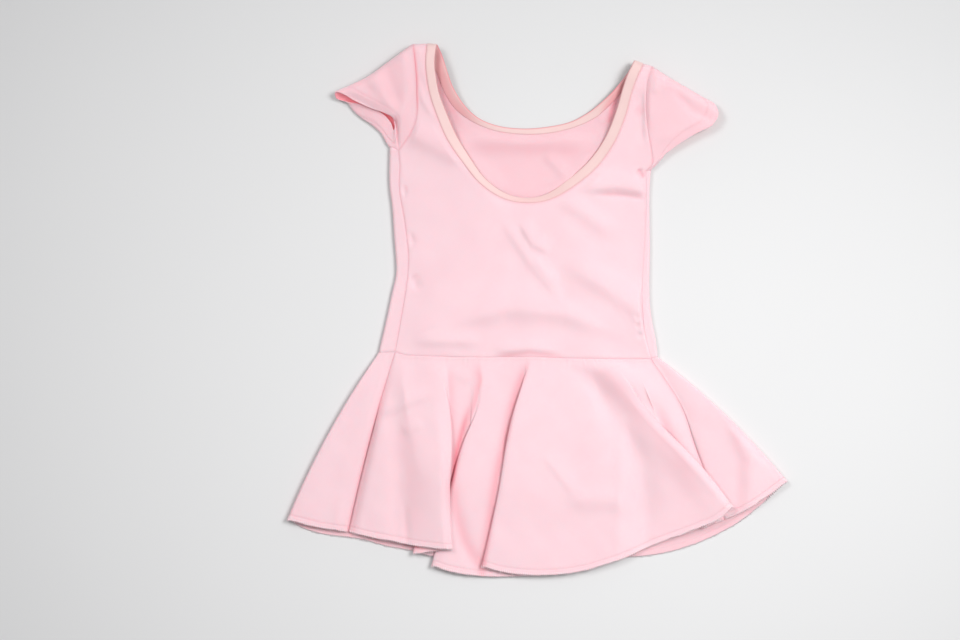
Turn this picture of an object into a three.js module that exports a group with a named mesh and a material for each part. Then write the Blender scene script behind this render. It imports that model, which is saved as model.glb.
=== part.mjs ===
// A child's skirted ballet leotard in stretch cloth, lying face up on a flat surface.
// Millimetres, +X to the right of someone looking down at it, +Y towards the shoulders, +Z up.
// Every piece is a thin wall round a middle surface, and sewn pieces stop a seam gap apart.
import * as THREE from 'three';

// Driving sizes
const CLOTH = 1.0;            // thickness of the cloth
const ELASTIC = 1.8;          // thickness of the folded elastic round the neck
const SEAM_GAP = 0.5;         // air between two pieces that are sewn together
const SIDE_RADIUS = 2.0;      // of the cloth's middle, where the back turns up at the sides
const LYING = CLOTH / 2;      // height of the middle of cloth that lies on the surface
const RISE = 0.2;             // share of the skirt's length in which its folds reach their height
const BRIEF_BACK = 1.8;       // heights of the middles of the brief's two layers
const BRIEF_FRONT = 3.1;
const OVER_BRIEF = 2.4;       // how much the front of the skirt lies higher on the brief
const HEM_BOW = 5.0;          // how far the skirt's side folds bow outwards

// Finishes
const PINK = { color: 0xf3bcc6, roughness: 0.78, metalness: 0 };
const PEACH = { color: 0xf0cdc4, roughness: 0.7, metalness: 0 };

// Rows of numbers under named columns become objects with those names.
const table = (columns, rows) => {
  const names = columns.split(' ');
  return rows.map((row) => Object.fromEntries(names.map((name, i) => [name, row[i]])));
};

// Neck edge from the left shoulder fold down the front to the right one, and the same along the
// back. x, y and z lie where cloth meets elastic, free_x, free_y and free_z on the free edge.
const NECK_COLUMNS = 'x y z free_x free_y free_z';
const NECK_FRONT = table(NECK_COLUMNS, [
  [-99.2, 239.2, 9.1, -90.6, 238.5, 9.1],
  [-99.6, 236.9, 14.0, -91.2, 236.2, 13.4],
  [-100.2, 231.0, 16.6, -92.0, 231.0, 15.8],
  [-100.6, 222.0, 17.0, -92.8, 222.0, 16.0],
  [-99.6, 209.0, 15.6, -91.4, 208.4, 14.6],
  [-96.8, 193.5, 13.2, -88.6, 194.5, 12.2],
  [-90.4, 174.5, 10.6, -81.8, 176.6, 9.4],
  [-81.5, 154.0, 8.8, -73.4, 157.6, 7.2],
  [-68.2, 134.3, 8.0, -62.0, 139.0, 5.4],
  [-51.5, 114.0, 8.2, -47.0, 118.4, 4.2],
  [-30.6, 100.6, 8.6, -28.2, 105.2, 3.5],
  [-10.0, 97.0, 8.8, -9.6, 101.2, 3.2],
  [10.0, 99.8, 8.6, 7.6, 104.8, 3.4],
  [33.2, 112.6, 8.2, 28.4, 118.8, 4.2],
  [54.0, 130.5, 8.0, 47.6, 136.6, 5.6],
  [68.8, 152.1, 8.8, 60.6, 155.6, 7.2],
  [78.5, 175.5, 10.2, 70.0, 178.6, 9.2],
  [84.0, 196.0, 12.4, 75.8, 198.5, 11.5],
  [89.3, 210.6, 13.8, 80.8, 213.0, 13.0],
  [92.6, 217.6, 12.6, 84.6, 220.4, 11.8],
  [94.2, 221.4, 8.1, 86.4, 224.2, 8.1],
]);
const NECK_BACK = table(NECK_COLUMNS, [
  [-99.2, 239.2, 9.1, -90.6, 238.5, 9.1],
  [-98.6, 236.2, 6.6, -89.6, 236.8, 7.6],
  [-97.0, 229.0, 6.0, -86.4, 229.6, 9.0],
  [-93.8, 220.0, 6.8, -83.6, 221.4, 10.0],
  [-90.0, 211.5, 7.0, -81.0, 213.0, 10.0],
  [-84.5, 197.0, 5.6, -76.0, 199.8, 8.4],
  [-74.0, 181.2, 3.0, -65.4, 183.6, 5.4],
  [-58.0, 169.6, 1.2, -53.2, 172.9, 2.8],
  [-38.0, 161.8, 0.9, -36.2, 166.2, 1.5],
  [-14.0, 158.7, 0.9, -13.6, 163.6, 1.2],
  [10.0, 159.6, 0.9, 8.8, 165.2, 1.2],
  [33.0, 165.0, 1.0, 29.8, 169.8, 1.6],
  [52.0, 173.8, 1.6, 45.8, 178.2, 3.0],
  [63.0, 183.2, 2.8, 56.4, 186.4, 4.8],
  [74.0, 194.8, 4.0, 67.0, 196.4, 6.2],
  [83.0, 206.0, 4.4, 75.2, 206.0, 6.8],
  [89.5, 213.6, 4.4, 81.6, 214.8, 6.2],
  [93.0, 218.8, 5.0, 85.2, 221.4, 5.6],
  [94.2, 221.4, 8.1, 86.4, 224.2, 8.1],
]);

// Outer edge of the front, one stretch after another, each with the neck rows that face it.
const POINT = 'x y z';
const FRONT_EDGES = {
  armhole_left: { neck: [0, 8], rows: table(POINT, [
    [-112.3, 239.0, 9.1], [-112.1, 236.6, 14.0], [-111.4, 230.5, 16.4],
    [-110.4, 221.0, 16.6], [-109.4, 208.0, 15.2], [-108.9, 190.0, 12.6],
    [-109.3, 173.0, 10.0], [-115.0, 158.5, 7.6], [-125.4, 143.8, 5.0]]) },
  side_left: { neck: [8, 10], rows: table(POINT, [
    [-125.4, 143.8, 5.0], [-124.4, 130.0, 4.6], [-124.8, 110.0, 4.5], [-119.9, 80.0, 4.5],
    [-116.4, 48.0, 4.5], [-118.1, 23.0, 4.5], [-122.2, -2.0, 4.5], [-128.3, -37.2, 4.6]]) },
  waist: { neck: [10, 12], rows: table(POINT, [
    [-128.3, -37.2, 4.6], [-117.9, -40.0, 5.0], [-97.0, -40.7, 6.4], [-77.7, -41.6, 5.2],
    [-52.0, -41.8, 6.4], [-29.5, -41.6, 5.2], [-5.5, -41.4, 7.0], [18.8, -42.4, 5.8],
    [58.7, -43.2, 6.4], [85.0, -43.3, 5.2], [101.9, -43.2, 4.6]]) },
  side_right: { neck: [12, 14], rows: table(POINT, [
    [101.9, -43.2, 4.6], [96.5, -21.8, 4.5], [93.8, 1.0, 4.5], [93.8, 25.0, 4.5],
    [95.5, 54.0, 4.5], [97.0, 86.2, 4.5], [97.4, 108.7, 4.5], [97.1, 125.3, 4.7]]) },
  armhole_right: { neck: [14, 20], rows: table(POINT, [
    [97.1, 125.3, 4.7], [102.6, 131.0, 5.6], [102.0, 143.0, 7.2], [98.8, 160.0, 9.0],
    [96.7, 184.0, 11.8], [98.2, 206.0, 13.4], [101.6, 215.6, 12.2], [102.8, 219.0, 8.1]]) },
};

// Outer edge of the back's flat part. Down the sides it is where the cloth starts to turn up.
const BACK_EDGES = {
  armhole_left: { neck: [0, 7], rows: table(POINT, [
    [-112.3, 239.0, 9.1], [-112.1, 235.6, 4.6], [-111.2, 228.0, 2.4], [-110.2, 216.0, 1.3],
    [-109.2, 200.0, 0.7], [-109.2, 182.0, 0.5], [-113.0, 162.0, 0.5], [-130.7, 146.5, 0.5]]) },
  side_left: { neck: [7, 8], rows: table(POINT, [
    [-130.7, 146.5, 0.5], [-130.9, 114.0, 0.5], [-128.4, 92.0, 0.5], [-126.7, 66.0, 0.5],
    [-124.9, 34.0, 0.5], [-128.7, 16.0, 0.5], [-133.3, -6.0, 0.5], [-140.6, -37.8, 0.5]]) },
  waist: { neck: [8, 11], rows: table(POINT, [
    [-140.6, -37.8, 0.5], [-100.0, -39.0, 0.5], [0.0, -40.0, 0.5], [105.3, -41.6, 0.5]]) },
  side_right: { neck: [11, 12], rows: table(POINT, [
    [105.3, -41.6, 0.5], [103.6, -27.0, 0.5], [99.8, -7.0, 0.5], [97.9, 12.4, 0.5],
    [98.2, 57.4, 0.5], [97.9, 105.4, 0.5], [99.2, 125.8, 0.5]]) },
  armhole_right: { neck: [12, 18], rows: table(POINT, [
    [99.2, 125.8, 0.5], [102.2, 138.0, 0.5], [99.0, 158.0, 0.5], [97.0, 180.0, 0.7],
    [98.0, 200.0, 1.4], [100.8, 214.0, 3.2], [102.8, 219.0, 8.1]]) },
};

// How many parts each stretch is divided into, the same for front and back so that they meet.
const PARTS = { armhole_left: 12, side_left: 9, waist: 16, side_right: 9, armhole_right: 12 };
const ACROSS = 8;     // from neck to outer edge
const ARC_PARTS = 6;  // round a side fold
const TOP_PARTS = 2;  // from a side fold to the side seam

// Creases of the front: soft ridges (positive) and troughs (negative) between two points.
const CREASES = table('x1 y1 x2 y2 width height', [
  [56.0, 136.0, 90.0, 122.0, 11.0, 2.4],
  [54.0, 110.5, 92.0, 108.7, 5.5, -1.6],
  [15.5, 90.0, 56.0, 44.0, 10.0, 1.3],
  [33.5, 47.5, 88.0, -10.0, 7.0, -1.6],
  [-20.0, 80.0, 15.0, 25.0, 8.0, 1.0],
  [-61.0, -19.0, 47.0, -21.8, 7.0, -1.4],
  [-105.0, 148.0, -40.0, 118.0, 9.0, 1.2],
  [-100.0, 120.0, -60.0, 20.0, 16.0, 0.9],
]);

// The skirt's ribs run from waist to hem. Where turn is 1 the cloth comes from the left and folds
// back to it, and where it is -1 to the right: z is its height before the turn, z_after behind it.
const SKIRT_FRONT = table('waist_x hem_x hem_y z turn z_after', [
  [-128.3, -170.8, -198.7, 4.8, 0, 0],
  [-117.5, -139.3, -205.2, 7.6, 0, 0],
  [-107.0, -107.8, -210.8, 11.4, 0, 0],
  [-98.0, -89.0, -212.9, 13.2, 0, 0],
  [-89.0, -77.0, -213.7, 12.8, 1, 9.4],
  [-81.5, -95.0, -216.0, 8.4, 0, 0],
  [-75.0, -111.8, -218.0, 7.0, -1, 3.6],
  [-68.5, -88.0, -221.6, 2.4, 0, 0],
  [-62.5, -63.0, -226.0, 2.2, 1, 3.8],
  [-57.3, -79.4, -228.0, 4.3, 0, 0],
  [-52.0, -95.2, -229.3, 4.8, -1, 6.6],
  [-43.0, -77.0, -234.5, 6.2, 0, 0],
  [-34.0, -52.0, -238.3, 4.4, 0, 0],
  [-25.0, -25.0, -238.9, 3.0, 0, 0],
  [-17.5, 2.0, -237.8, 2.6, 1, 5.4],
  [-12.0, -25.0, -234.6, 6.4, 0, 0],
  [-6.0, -50.2, -229.7, 7.2, -1, 10.4],
  [3.0, -34.0, -233.8, 9.8, 0, 0],
  [15.5, -7.0, -237.2, 7.2, 0, 0],
  [29.0, 32.2, -235.1, 6.2, 0, 0],
  [38.5, 72.4, -223.7, 6.4, 0, 0],
  [46.0, 110.0, -207.9, 5.0, 0, 0],
  [54.0, 147.7, -193.5, 7.8, 0, 0],
  [61.0, 163.6, -185.6, 10.6, 0, 0],
  [68.0, 175.0, -176.4, 11.0, 1, 7.8],
  [75.0, 161.0, -186.6, 6.8, 0, 0],
  [82.5, 147.8, -194.6, 6.0, -1, 3.0],
  [101.9, 167.6, -187.9, 3.2, 0, 0],
]);

// The back of the skirt goes on from the right seam, over the right fold, along the surface and
// over the left fold to the left seam.
const SKIRT_TOP_RIGHT = { waist_x: 103.6, waist_y: -42.4, hem_x: 189.5, hem_y: -177.4, z: 4.6 };
const SKIRT_TOP_LEFT = { waist_x: -134.4, waist_y: -37.5, hem_x: -196.0, hem_y: -194.8, z: 5.8 };
const SKIRT_FOLD_RIGHT = {
  waist_x: 107.3, waist_y: -41.6, hem_x: 223.7, hem_y: -153.4, out_x: 0.8, out_y: 0.6, top: 5.6,
};
const SKIRT_FOLD_LEFT = {
  waist_x: -142.6, waist_y: -37.8, hem_x: -224.9, hem_y: -188.2, out_x: -1, out_y: 0, top: 6.6,
};
const SKIRT_UNDER = table('waist_x waist_y hem_x hem_y', [
  [96.0, -41.5, 200.0, -175.0],
  [84.0, -41.3, 180.0, -190.4],
  [70.0, -41.1, 152.0, -205.2],
  [54.0, -40.8, 120.3, -216.2],
  [36.0, -40.5, 88.0, -221.0],
  [10.0, -40.2, 40.0, -221.2],
  [-20.0, -39.8, -20.0, -220.8],
  [-50.0, -39.5, -80.0, -218.6],
  [-82.0, -39.2, -125.0, -213.8],
  [-108.0, -38.9, -163.0, -204.6],
  [-126.0, -38.4, -192.0, -200.8],
  [-135.0, -38.1, -212.0, -195.0],
]);
const SKIRT_LEVELS = [0, 0.03, 0.08, 0.14, 0.21, 0.3, 0.41, 0.53, 0.66, 0.79, 0.9, 1];

// Sleeves: rails from the armhole (at counts its points round from the front) through two points
// on the way to the cuff.
const RAIL_COLUMNS = 'at x1 y1 z1 x2 y2 z2 x3 y3 z3';
const SLEEVE_LEFT = table(RAIL_COLUMNS, [
  [0.0, -130.0, 226.0, 9.0, -153.0, 209.5, 8.4, -180.6, 197.4, 8.4],
  [3.0, -133.0, 219.0, 14.5, -155.0, 204.0, 12.6, -175.0, 194.4, 11.6],
  [6.0, -128.0, 203.5, 15.6, -146.0, 196.5, 13.4, -164.0, 188.0, 11.2],
  [8.0, -122.0, 187.0, 13.0, -137.0, 186.0, 12.6, -150.6, 182.0, 10.8],
  [9.6, -119.0, 173.5, 11.2, -128.0, 176.0, 11.4, -137.0, 177.2, 10.2],
  [11.0, -122.0, 160.0, 8.4, -126.0, 167.0, 9.0, -130.4, 174.0, 8.8],
  [12.0, -126.8, 151.0, 5.6, -127.8, 159.0, 6.6, -128.6, 168.4, 7.6],
  [14.5, -129.8, 150.0, 4.6, -130.0, 156.6, 5.0, -129.2, 164.4, 6.2],
  [17.0, -136.4, 152.6, 3.0, -138.6, 158.4, 3.6, -134.2, 165.2, 4.6],
  [21.0, -138.0, 158.6, 0.5, -148.0, 164.0, 3.2, -143.0, 174.4, 6.6],
  [22.7, -135.0, 178.0, 0.5, -161.4, 175.0, 2.4, -157.0, 183.6, 6.0],
  [25.1, -132.0, 202.0, 0.6, -168.6, 187.0, 1.8, -172.4, 187.8, 4.4],
  [28.6, -132.0, 219.0, 2.8, -156.0, 203.6, 2.8, -179.6, 192.4, 4.2],
]);
const SLEEVE_RIGHT = table(RAIL_COLUMNS, [
  [0.0, 103.4, 129.4, 4.8, 107.4, 134.0, 5.0, 112.0, 139.4, 5.0],
  [2.0, 107.0, 137.0, 6.2, 113.6, 141.6, 6.6, 120.2, 145.4, 6.5],
  [4.0, 108.0, 163.0, 10.2, 124.0, 162.0, 10.6, 141.0, 158.6, 8.8],
  [6.0, 113.0, 184.0, 13.0, 134.0, 176.0, 12.6, 157.0, 167.2, 9.6],
  [8.0, 119.0, 203.0, 13.6, 140.0, 190.0, 12.6, 161.8, 177.0, 9.4],
  [12.0, 115.4, 210.4, 8.0, 137.0, 197.8, 7.2, 158.4, 185.6, 6.4],
  [16.0, 118.0, 203.0, 2.4, 139.0, 191.0, 2.0, 160.0, 178.6, 2.6],
  [18.0, 113.0, 183.0, 0.6, 134.0, 176.0, 0.6, 154.4, 168.8, 1.2],
  [20.0, 108.0, 162.0, 0.5, 123.0, 160.0, 0.5, 138.0, 157.6, 0.8],
  [22.0, 106.4, 141.6, 0.5, 113.4, 145.4, 0.5, 121.0, 148.4, 0.8],
  [27.0, 104.2, 129.2, 2.6, 107.6, 132.8, 2.6, 110.8, 136.4, 2.8],
]);
const SLEEVE_PARTS = 7;

// The brief, from its waist down to the crotch, and how wide it is on the way.
const BRIEF_SECTIONS = table('y left right', [
  [-45.5, -130.0, 96.0],
  [-58.0, -127.0, 93.0],
  [-75.0, -115.0, 82.0],
  [-92.0, -96.0, 64.0],
  [-110.0, -78.0, 47.0],
  [-130.0, -62.0, 32.0],
  [-150.0, -52.0, 22.0],
  [-166.0, -47.0, 17.0],
]);

const mix = (a, b, t) => a + (b - a) * t;
const clamp01 = (t) => Math.min(1, Math.max(0, t));
const smooth = (t) => clamp01(t) ** 2 * (3 - 2 * clamp01(t));
const vector = (x, y, z) => new THREE.Vector3(x, y, z);

// A smooth curve through rows of x, y and z. at(i) is its point at row i, whole or not.
function curveThrough(rows, closed = false) {
  const curve = new THREE.CatmullRomCurve3(rows.map((r) => vector(r.x, r.y, r.z)), closed);
  const spans = closed ? rows.length : rows.length - 1;
  return { spans, at: (i) => curve.getPoint(clamp01(i / spans)) };
}

// A grid of points from a function of two shares from 0 to 1.
function grid(rows, columns, pointAt) {
  return Array.from({ length: rows + 1 }, (_, i) =>
    Array.from({ length: columns + 1 }, (_, j) => pointAt(i / rows, j / columns)));
}

const keyOf = (p) => [p.x, p.y, p.z].map((v) => Math.round((v + 1e-4) * 1000)).join();

// Two triangles for each cell of each grid, as points. Their fronts face outwards.
function trianglesOf(grids) {
  const triangles = [];
  for (const points of grids) {
    for (let i = 0; i + 1 < points.length; i++) {
      for (let j = 0; j + 1 < points[i].length; j++) {
        const [a, b] = [points[i][j], points[i + 1][j]];
        const [c, d] = [points[i + 1][j + 1], points[i][j + 1]];
        const shortAC = a.distanceTo(c) < b.distanceTo(d);
        triangles.push(...(shortAC ? [[a, b, c], [a, c, d]] : [[a, b, d], [b, c, d]]));
      }
    }
  }
  return triangles;
}

// Directions straight out of the cloth at every point, shared by all pieces that meet there.
function normalsOf(triangles) {
  const sums = new Map();
  for (const corners of triangles) {
    corners.forEach((p, k) => {
      const u = corners[(k + 1) % 3].clone().sub(p);
      const v = corners[(k + 2) % 3].clone().sub(p);
      const angle = u.angleTo(v);
      const key = keyOf(p);
      if (!sums.has(key)) sums.set(key, vector(0, 0, 0));
      sums.get(key).addScaledVector(u.cross(v).normalize(), angle);
    });
  }
  for (const normal of sums.values()) normal.normalize();
  return sums;
}

// The closed wall round the middle surface that the grids make together. Its edges draw back by
// half a seam gap.
function wall(grids, thickness, normals) {
  const middle = [];
  const indexOf = new Map();
  const faces = trianglesOf(grids).map((corners) => corners.map((p) => {
    const key = keyOf(p);
    if (!indexOf.has(key)) indexOf.set(key, middle.push({ p, normal: normals.get(key) }) - 1);
    return indexOf.get(key);
  }));
  const edges = new Map();
  for (const [a, b, c] of faces) {
    for (const [from, to] of [[a, b], [b, c], [c, a]]) {
      if (!edges.delete(`${to} ${from}`)) edges.set(`${from} ${to}`, [from, to]);
    }
  }
  const inwards = new Map();
  for (const [from, to] of edges.values()) {
    const along = middle[to].p.clone().sub(middle[from].p);
    for (const i of [from, to]) {
      const inward = middle[i].normal.clone().cross(along).normalize();
      inwards.set(i, [...(inwards.get(i) ?? []), inward]);
    }
  }
  const drawnBack = middle.map(({ p }, i) => {
    if (!inwards.has(i)) return p;
    const [a, b] = inwards.get(i);
    const both = a.clone().add(b);
    return p.clone().addScaledVector(both, SEAM_GAP / Math.max(1, both.lengthSq()));
  });
  const side = (by) => middle.map(({ normal }, i) =>
    drawnBack[i].clone().addScaledVector(normal, by));
  const below = middle.length;
  const rim = [...edges.values()].flatMap(([from, to]) =>
    [[from, from + below, to + below], [from, to + below, to]]);
  const underside = faces.map(([a, b, c]) => [a + below, c + below, b + below]);
  const solid = new THREE.BufferGeometry();
  solid.setFromPoints([...side(thickness / 2), ...side(-thickness / 2)]);
  solid.setIndex([...faces, ...rim, ...underside].flat());
  return solid;
}

// Height of the front's creases at a place.
function creaseHeight(x, y) {
  let height = 0;
  for (const crease of CREASES) {
    const along = new THREE.Vector2(crease.x2 - crease.x1, crease.y2 - crease.y1);
    const from = new THREE.Vector2(x - crease.x1, y - crease.y1);
    const share = from.dot(along) / along.lengthSq();
    const off = Math.abs(from.cross(along)) / along.length();
    const ends = smooth((share + 0.25) / 0.5) * smooth((1.25 - share) / 0.5);
    height += crease.height * ends * Math.exp(-((off / crease.width) ** 2));
  }
  return height;
}

// The front's waist edge at a place across it, the same for the bodice and the skirt.
function waistAt(x) {
  const rows = FRONT_EDGES.waist.rows;
  const next = Math.max(1, rows.findIndex((row) => row.x >= x));
  const [a, b] = [rows[next - 1], rows[next]];
  const share = (x - a.x) / (b.x - a.x);
  return vector(x, mix(a.y, b.y, share), mix(a.z, b.z, smooth(share)));
}

// A panel between its neck edge and its outer edge, as one grid for each stretch of that edge. It
// comes down from the neck's height to the outer edge's within a distance.
function panelGrids(neckRows, edges, settlesWithin, liftAt) {
  const neck = curveThrough(neckRows);
  return Object.fromEntries(Object.entries(edges).map(([name, edge]) => {
    const outer = curveThrough(edge.rows);
    const isFrontWaist = edge === FRONT_EDGES.waist;
    const outerAt = (s) => isFrontWaist
      ? waistAt(mix(edge.rows[0].x, edge.rows.at(-1).x, s)) : outer.at(s * outer.spans);
    const points = grid(PARTS[name], ACROSS, (s, t) => {
      const start = neck.at(mix(...edge.neck, s));
      const end = outerAt(s);
      const settled = clamp01(t * Math.max(1, start.distanceTo(end) / settlesWithin));
      const z = mix(start.z, end.z, settled);
      const p = start.lerp(end, t);
      return p.setZ(z + liftAt(p.x, p.y) * Math.sin(Math.PI * t) ** 2);
    });
    return [name, points];
  }));
}

// The strip of the back that turns up round a side and meets the front at the side seam.
function sideStrip(name, outwards) {
  const foot = curveThrough(BACK_EDGES[name].rows);
  const seam = curveThrough(FRONT_EDGES[name].rows);
  return grid(PARTS[name], ARC_PARTS + TOP_PARTS, (s, t) => {
    const step = Math.round(t * (ARC_PARTS + TOP_PARTS));
    const angle = Math.PI * Math.min(1, step / ARC_PARTS);
    const p = foot.at(s * foot.spans);
    p.x += outwards * SIDE_RADIUS * Math.sin(angle);
    p.z += SIDE_RADIUS * (1 - Math.cos(angle));
    return p.lerp(seam.at(s * seam.spans), clamp01((step - ARC_PARTS) / TOP_PARTS));
  });
}

// Places along the neck edge where a panel's grids have points.
function neckPlaces(edges) {
  const places = [0];
  for (const [name, { neck: [from, to] }] of Object.entries(edges)) {
    for (let i = 1; i <= PARTS[name]; i++) places.push(mix(from, to, i / PARTS[name]));
  }
  return places;
}

// The elastic round the neck, one ring from the left shoulder back to it.
function bindingGrid() {
  const sewnFront = curveThrough(NECK_FRONT);
  const sewnBack = curveThrough(NECK_BACK);
  const around = [...NECK_FRONT, ...NECK_BACK.slice(1, -1).reverse()];
  const free = curveThrough(
    around.map((row) => ({ x: row.free_x, y: row.free_y, z: row.free_z })), true);
  const ring = neckPlaces(FRONT_EDGES).map((at) => [sewnFront.at(at), free.at(at)]);
  for (const at of neckPlaces(BACK_EDGES).reverse().slice(1, -1)) {
    ring.push([sewnBack.at(at), free.at(sewnFront.spans + sewnBack.spans - at)]);
  }
  ring.push(ring[0]);
  return ring.map(([p, q]) => [0, 0.5, 1].map((t) => p.clone().lerp(q, t)));
}

// A sleeve from the ring of armhole points out to its cuff.
function sleeveGrid(ring, rails) {
  const last = ring.length - 1;
  const curves = [1, 2, 3].map((n) =>
    curveThrough(rails.map((r) => ({ x: r[`x${n}`], y: r[`y${n}`], z: r[`z${n}`] })), true));
  const starts = [...rails.map((rail) => rail.at), last];
  const columns = ring.map((start, i) => {
    const k = Math.min(rails.length - 1, starts.findLastIndex((at) => at <= i));
    const row = k + (i - starts[k]) / (starts[k + 1] - starts[k]);
    return [start, ...curves.map((curve) => curve.at(row % rails.length))];
  });
  return grid(SLEEVE_PARTS, last, (w, u) => {
    const column = curveThrough(columns[Math.round(u * last)]);
    const p = column.at(w * column.spans);
    return p.setZ(Math.max(LYING, p.z));
  });
}

// Ribs of a fold that turns back on itself, spread round a half circle.
function turnRibs(rib) {
  const radius = Math.abs(rib.z_after - rib.z) / 2;
  const steps = radius > 1.5 ? [-2, -1, 0, 1, 2] : [-2, 0, 2];
  return steps.map((k) => {
    const angle = k * Math.PI / 4;
    const spread = 0.9 * k;
    return {
      spread,
      waist: waistAt(rib.waist_x + spread),
      hem: vector(rib.hem_x, rib.hem_y, mix(rib.z, rib.z_after, (1 + Math.sin(angle)) / 2)),
      curl: -rib.turn * radius * (1 - Math.cos(angle)),
    };
  });
}

// Ribs round a fold at the side of the skirt, from its top down to the surface.
function sideRibs(fold) {
  const radius = (fold.top - LYING) / 2;
  const out = Math.sign(fold.out_x);
  return [3, 2, 1, 0, -1, -2, -3].map((k) => {
    const angle = k * Math.PI / 6;
    const inset = 1 - Math.cos(angle);
    const waist = vector(
      fold.waist_x - out * SIDE_RADIUS * inset,
      fold.waist_y,
      LYING + SIDE_RADIUS * (1 + Math.sin(angle)));
    const hem = vector(
      fold.hem_x - fold.out_x * radius * inset,
      fold.hem_y - fold.out_y * radius * inset,
      LYING + radius * (1 + Math.sin(angle)));
    return straightRib(waist, hem);
  });
}

const straightRib = (waist, hem) => ({ waist, hem, curl: 0, spread: 0 });

// Long steps between ribs get a rib in the middle that follows the curve through its neighbours.
function refineRibs(ribs, waistBetween) {
  const limit = 14;
  return ribs.flatMap((rib, i) => {
    const next = ribs[i + 1];
    if (!next || rib.hem.distanceTo(next.hem) < limit) return [rib];
    const before = ribs[Math.max(0, i - 1)];
    const after = ribs[Math.min(ribs.length - 1, i + 2)];
    const hem = rib.hem.clone().add(next.hem).multiplyScalar(9 / 16)
      .addScaledVector(before.hem, -1 / 16).addScaledVector(after.hem, -1 / 16);
    return [rib, {
      waist: waistBetween(rib.waist, next.waist),
      hem,
      curl: (rib.curl + next.curl) / 2,
      spread: (rib.spread + next.spread) / 2,
    }];
  });
}

// The point of a rib at a share of its length, bowed outwards at the sides of the skirt.
function ribPoint(rib, v, overBrief) {
  const p = rib.waist.clone().lerp(rib.hem, v);
  const run = new THREE.Vector2(rib.hem.x - rib.waist.x, rib.hem.y - rib.waist.y).normalize();
  const bow = HEM_BOW * smooth((Math.abs(rib.hem.x) - 140) / 70) * 4 * v * (1 - v);
  p.x += Math.sign(rib.hem.x) * bow * Math.abs(run.y);
  p.x += rib.spread * (v - smooth(v / 0.26)) + rib.curl * smooth((v - 0.23) / 0.18);
  p.y += bow * Math.abs(run.x);
  const middle = smooth((1 - Math.abs(rib.waist.x + 13) / 115) / 0.25);
  const lift = overBrief * middle * (1 - smooth((v - 0.58) / 0.27));
  p.z = mix(rib.waist.z, rib.hem.z + lift, smooth(v / RISE));
  return p;
}

const skirtGrid = (ribs, overBrief) =>
  SKIRT_LEVELS.map((v) => ribs.map((rib) => ribPoint(rib, v, overBrief)));

function frontRibs() {
  const ribs = SKIRT_FRONT.flatMap((rib) => rib.turn ? turnRibs(rib)
    : [straightRib(waistAt(rib.waist_x), vector(rib.hem_x, rib.hem_y, rib.z))]);
  return refineRibs(ribs, (a, b) => waistAt((a.x + b.x) / 2));
}

function backRibs(firstSeam, lastSeam) {
  const onTop = (row) => straightRib(
    vector(row.waist_x, row.waist_y, LYING + 2 * SIDE_RADIUS),
    vector(row.hem_x, row.hem_y, row.z));
  const under = SKIRT_UNDER.map((row) => straightRib(
    vector(row.waist_x, row.waist_y, LYING), vector(row.hem_x, row.hem_y, LYING)));
  return refineRibs([
    firstSeam, onTop(SKIRT_TOP_RIGHT), ...sideRibs(SKIRT_FOLD_RIGHT),
    ...under,
    ...sideRibs(SKIRT_FOLD_LEFT).reverse(), onTop(SKIRT_TOP_LEFT), lastSeam,
  ], (a, b) => a.clone().lerp(b, 0.5));
}

// One flat layer of the brief.
function briefGrid(level, isFront) {
  const across = 6;
  const points = BRIEF_SECTIONS.map(({ y, left, right }) =>
    Array.from({ length: across + 1 }, (_, j) => vector(mix(left, right, j / across), y, level)));
  return isFront ? points : points.map((row) => row.reverse());
}

const front = panelGrids(NECK_FRONT, FRONT_EDGES, Infinity, creaseHeight);
const back = panelGrids(NECK_BACK, BACK_EDGES, 30, () => 0);
const stripLeft = sideStrip('side_left', -1);
const stripRight = sideStrip('side_right', 1);

// Rings of armhole points, closing where they began.
const outerEdge = (points) => points.map((row) => row.at(-1));
const ringLeft = [
  ...outerEdge(front.armhole_left), ...stripLeft[0].toReversed().slice(1),
  ...outerEdge(back.armhole_left).toReversed().slice(1),
];
const ringRight = [
  ...outerEdge(front.armhole_right), ...outerEdge(back.armhole_right).toReversed().slice(1),
  ...stripRight.at(-1).slice(1),
];

const skirtFront = frontRibs();
const skirtBack = backRibs(skirtFront.at(-1), skirtFront[0]);
const flipped = (grids) => Object.values(grids).map((points) => points.toReversed());
const PIECES = [
  { name: 'bodice_front', grids: flipped(front) },
  { name: 'bodice_back', grids: [...Object.values(back), stripLeft, stripRight] },
  { name: 'neck_binding', grids: [bindingGrid()], thickness: ELASTIC, finish: PEACH },
  { name: 'sleeve_left', grids: [sleeveGrid(ringLeft, SLEEVE_LEFT)] },
  { name: 'sleeve_right', grids: [sleeveGrid(ringRight, SLEEVE_RIGHT)] },
  { name: 'skirt_front', grids: [skirtGrid(skirtFront, OVER_BRIEF)] },
  { name: 'skirt_back', grids: [skirtGrid(skirtBack, 0)] },
  { name: 'brief_front', grids: [briefGrid(BRIEF_FRONT, true)] },
  { name: 'brief_back', grids: [briefGrid(BRIEF_BACK, false)] },
];

const normals = normalsOf(trianglesOf(PIECES.flatMap(({ grids }) => grids)));
const group = new THREE.Group();
group.name = 'skirted_leotard';
for (const { name, grids, thickness = CLOTH, finish = PINK } of PIECES) {
  const cloth = new THREE.Mesh(
    wall(grids, thickness, normals),
    new THREE.MeshStandardMaterial(finish));
  cloth.name = name;
  group.add(cloth);
}

export default group;
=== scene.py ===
import math

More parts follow.
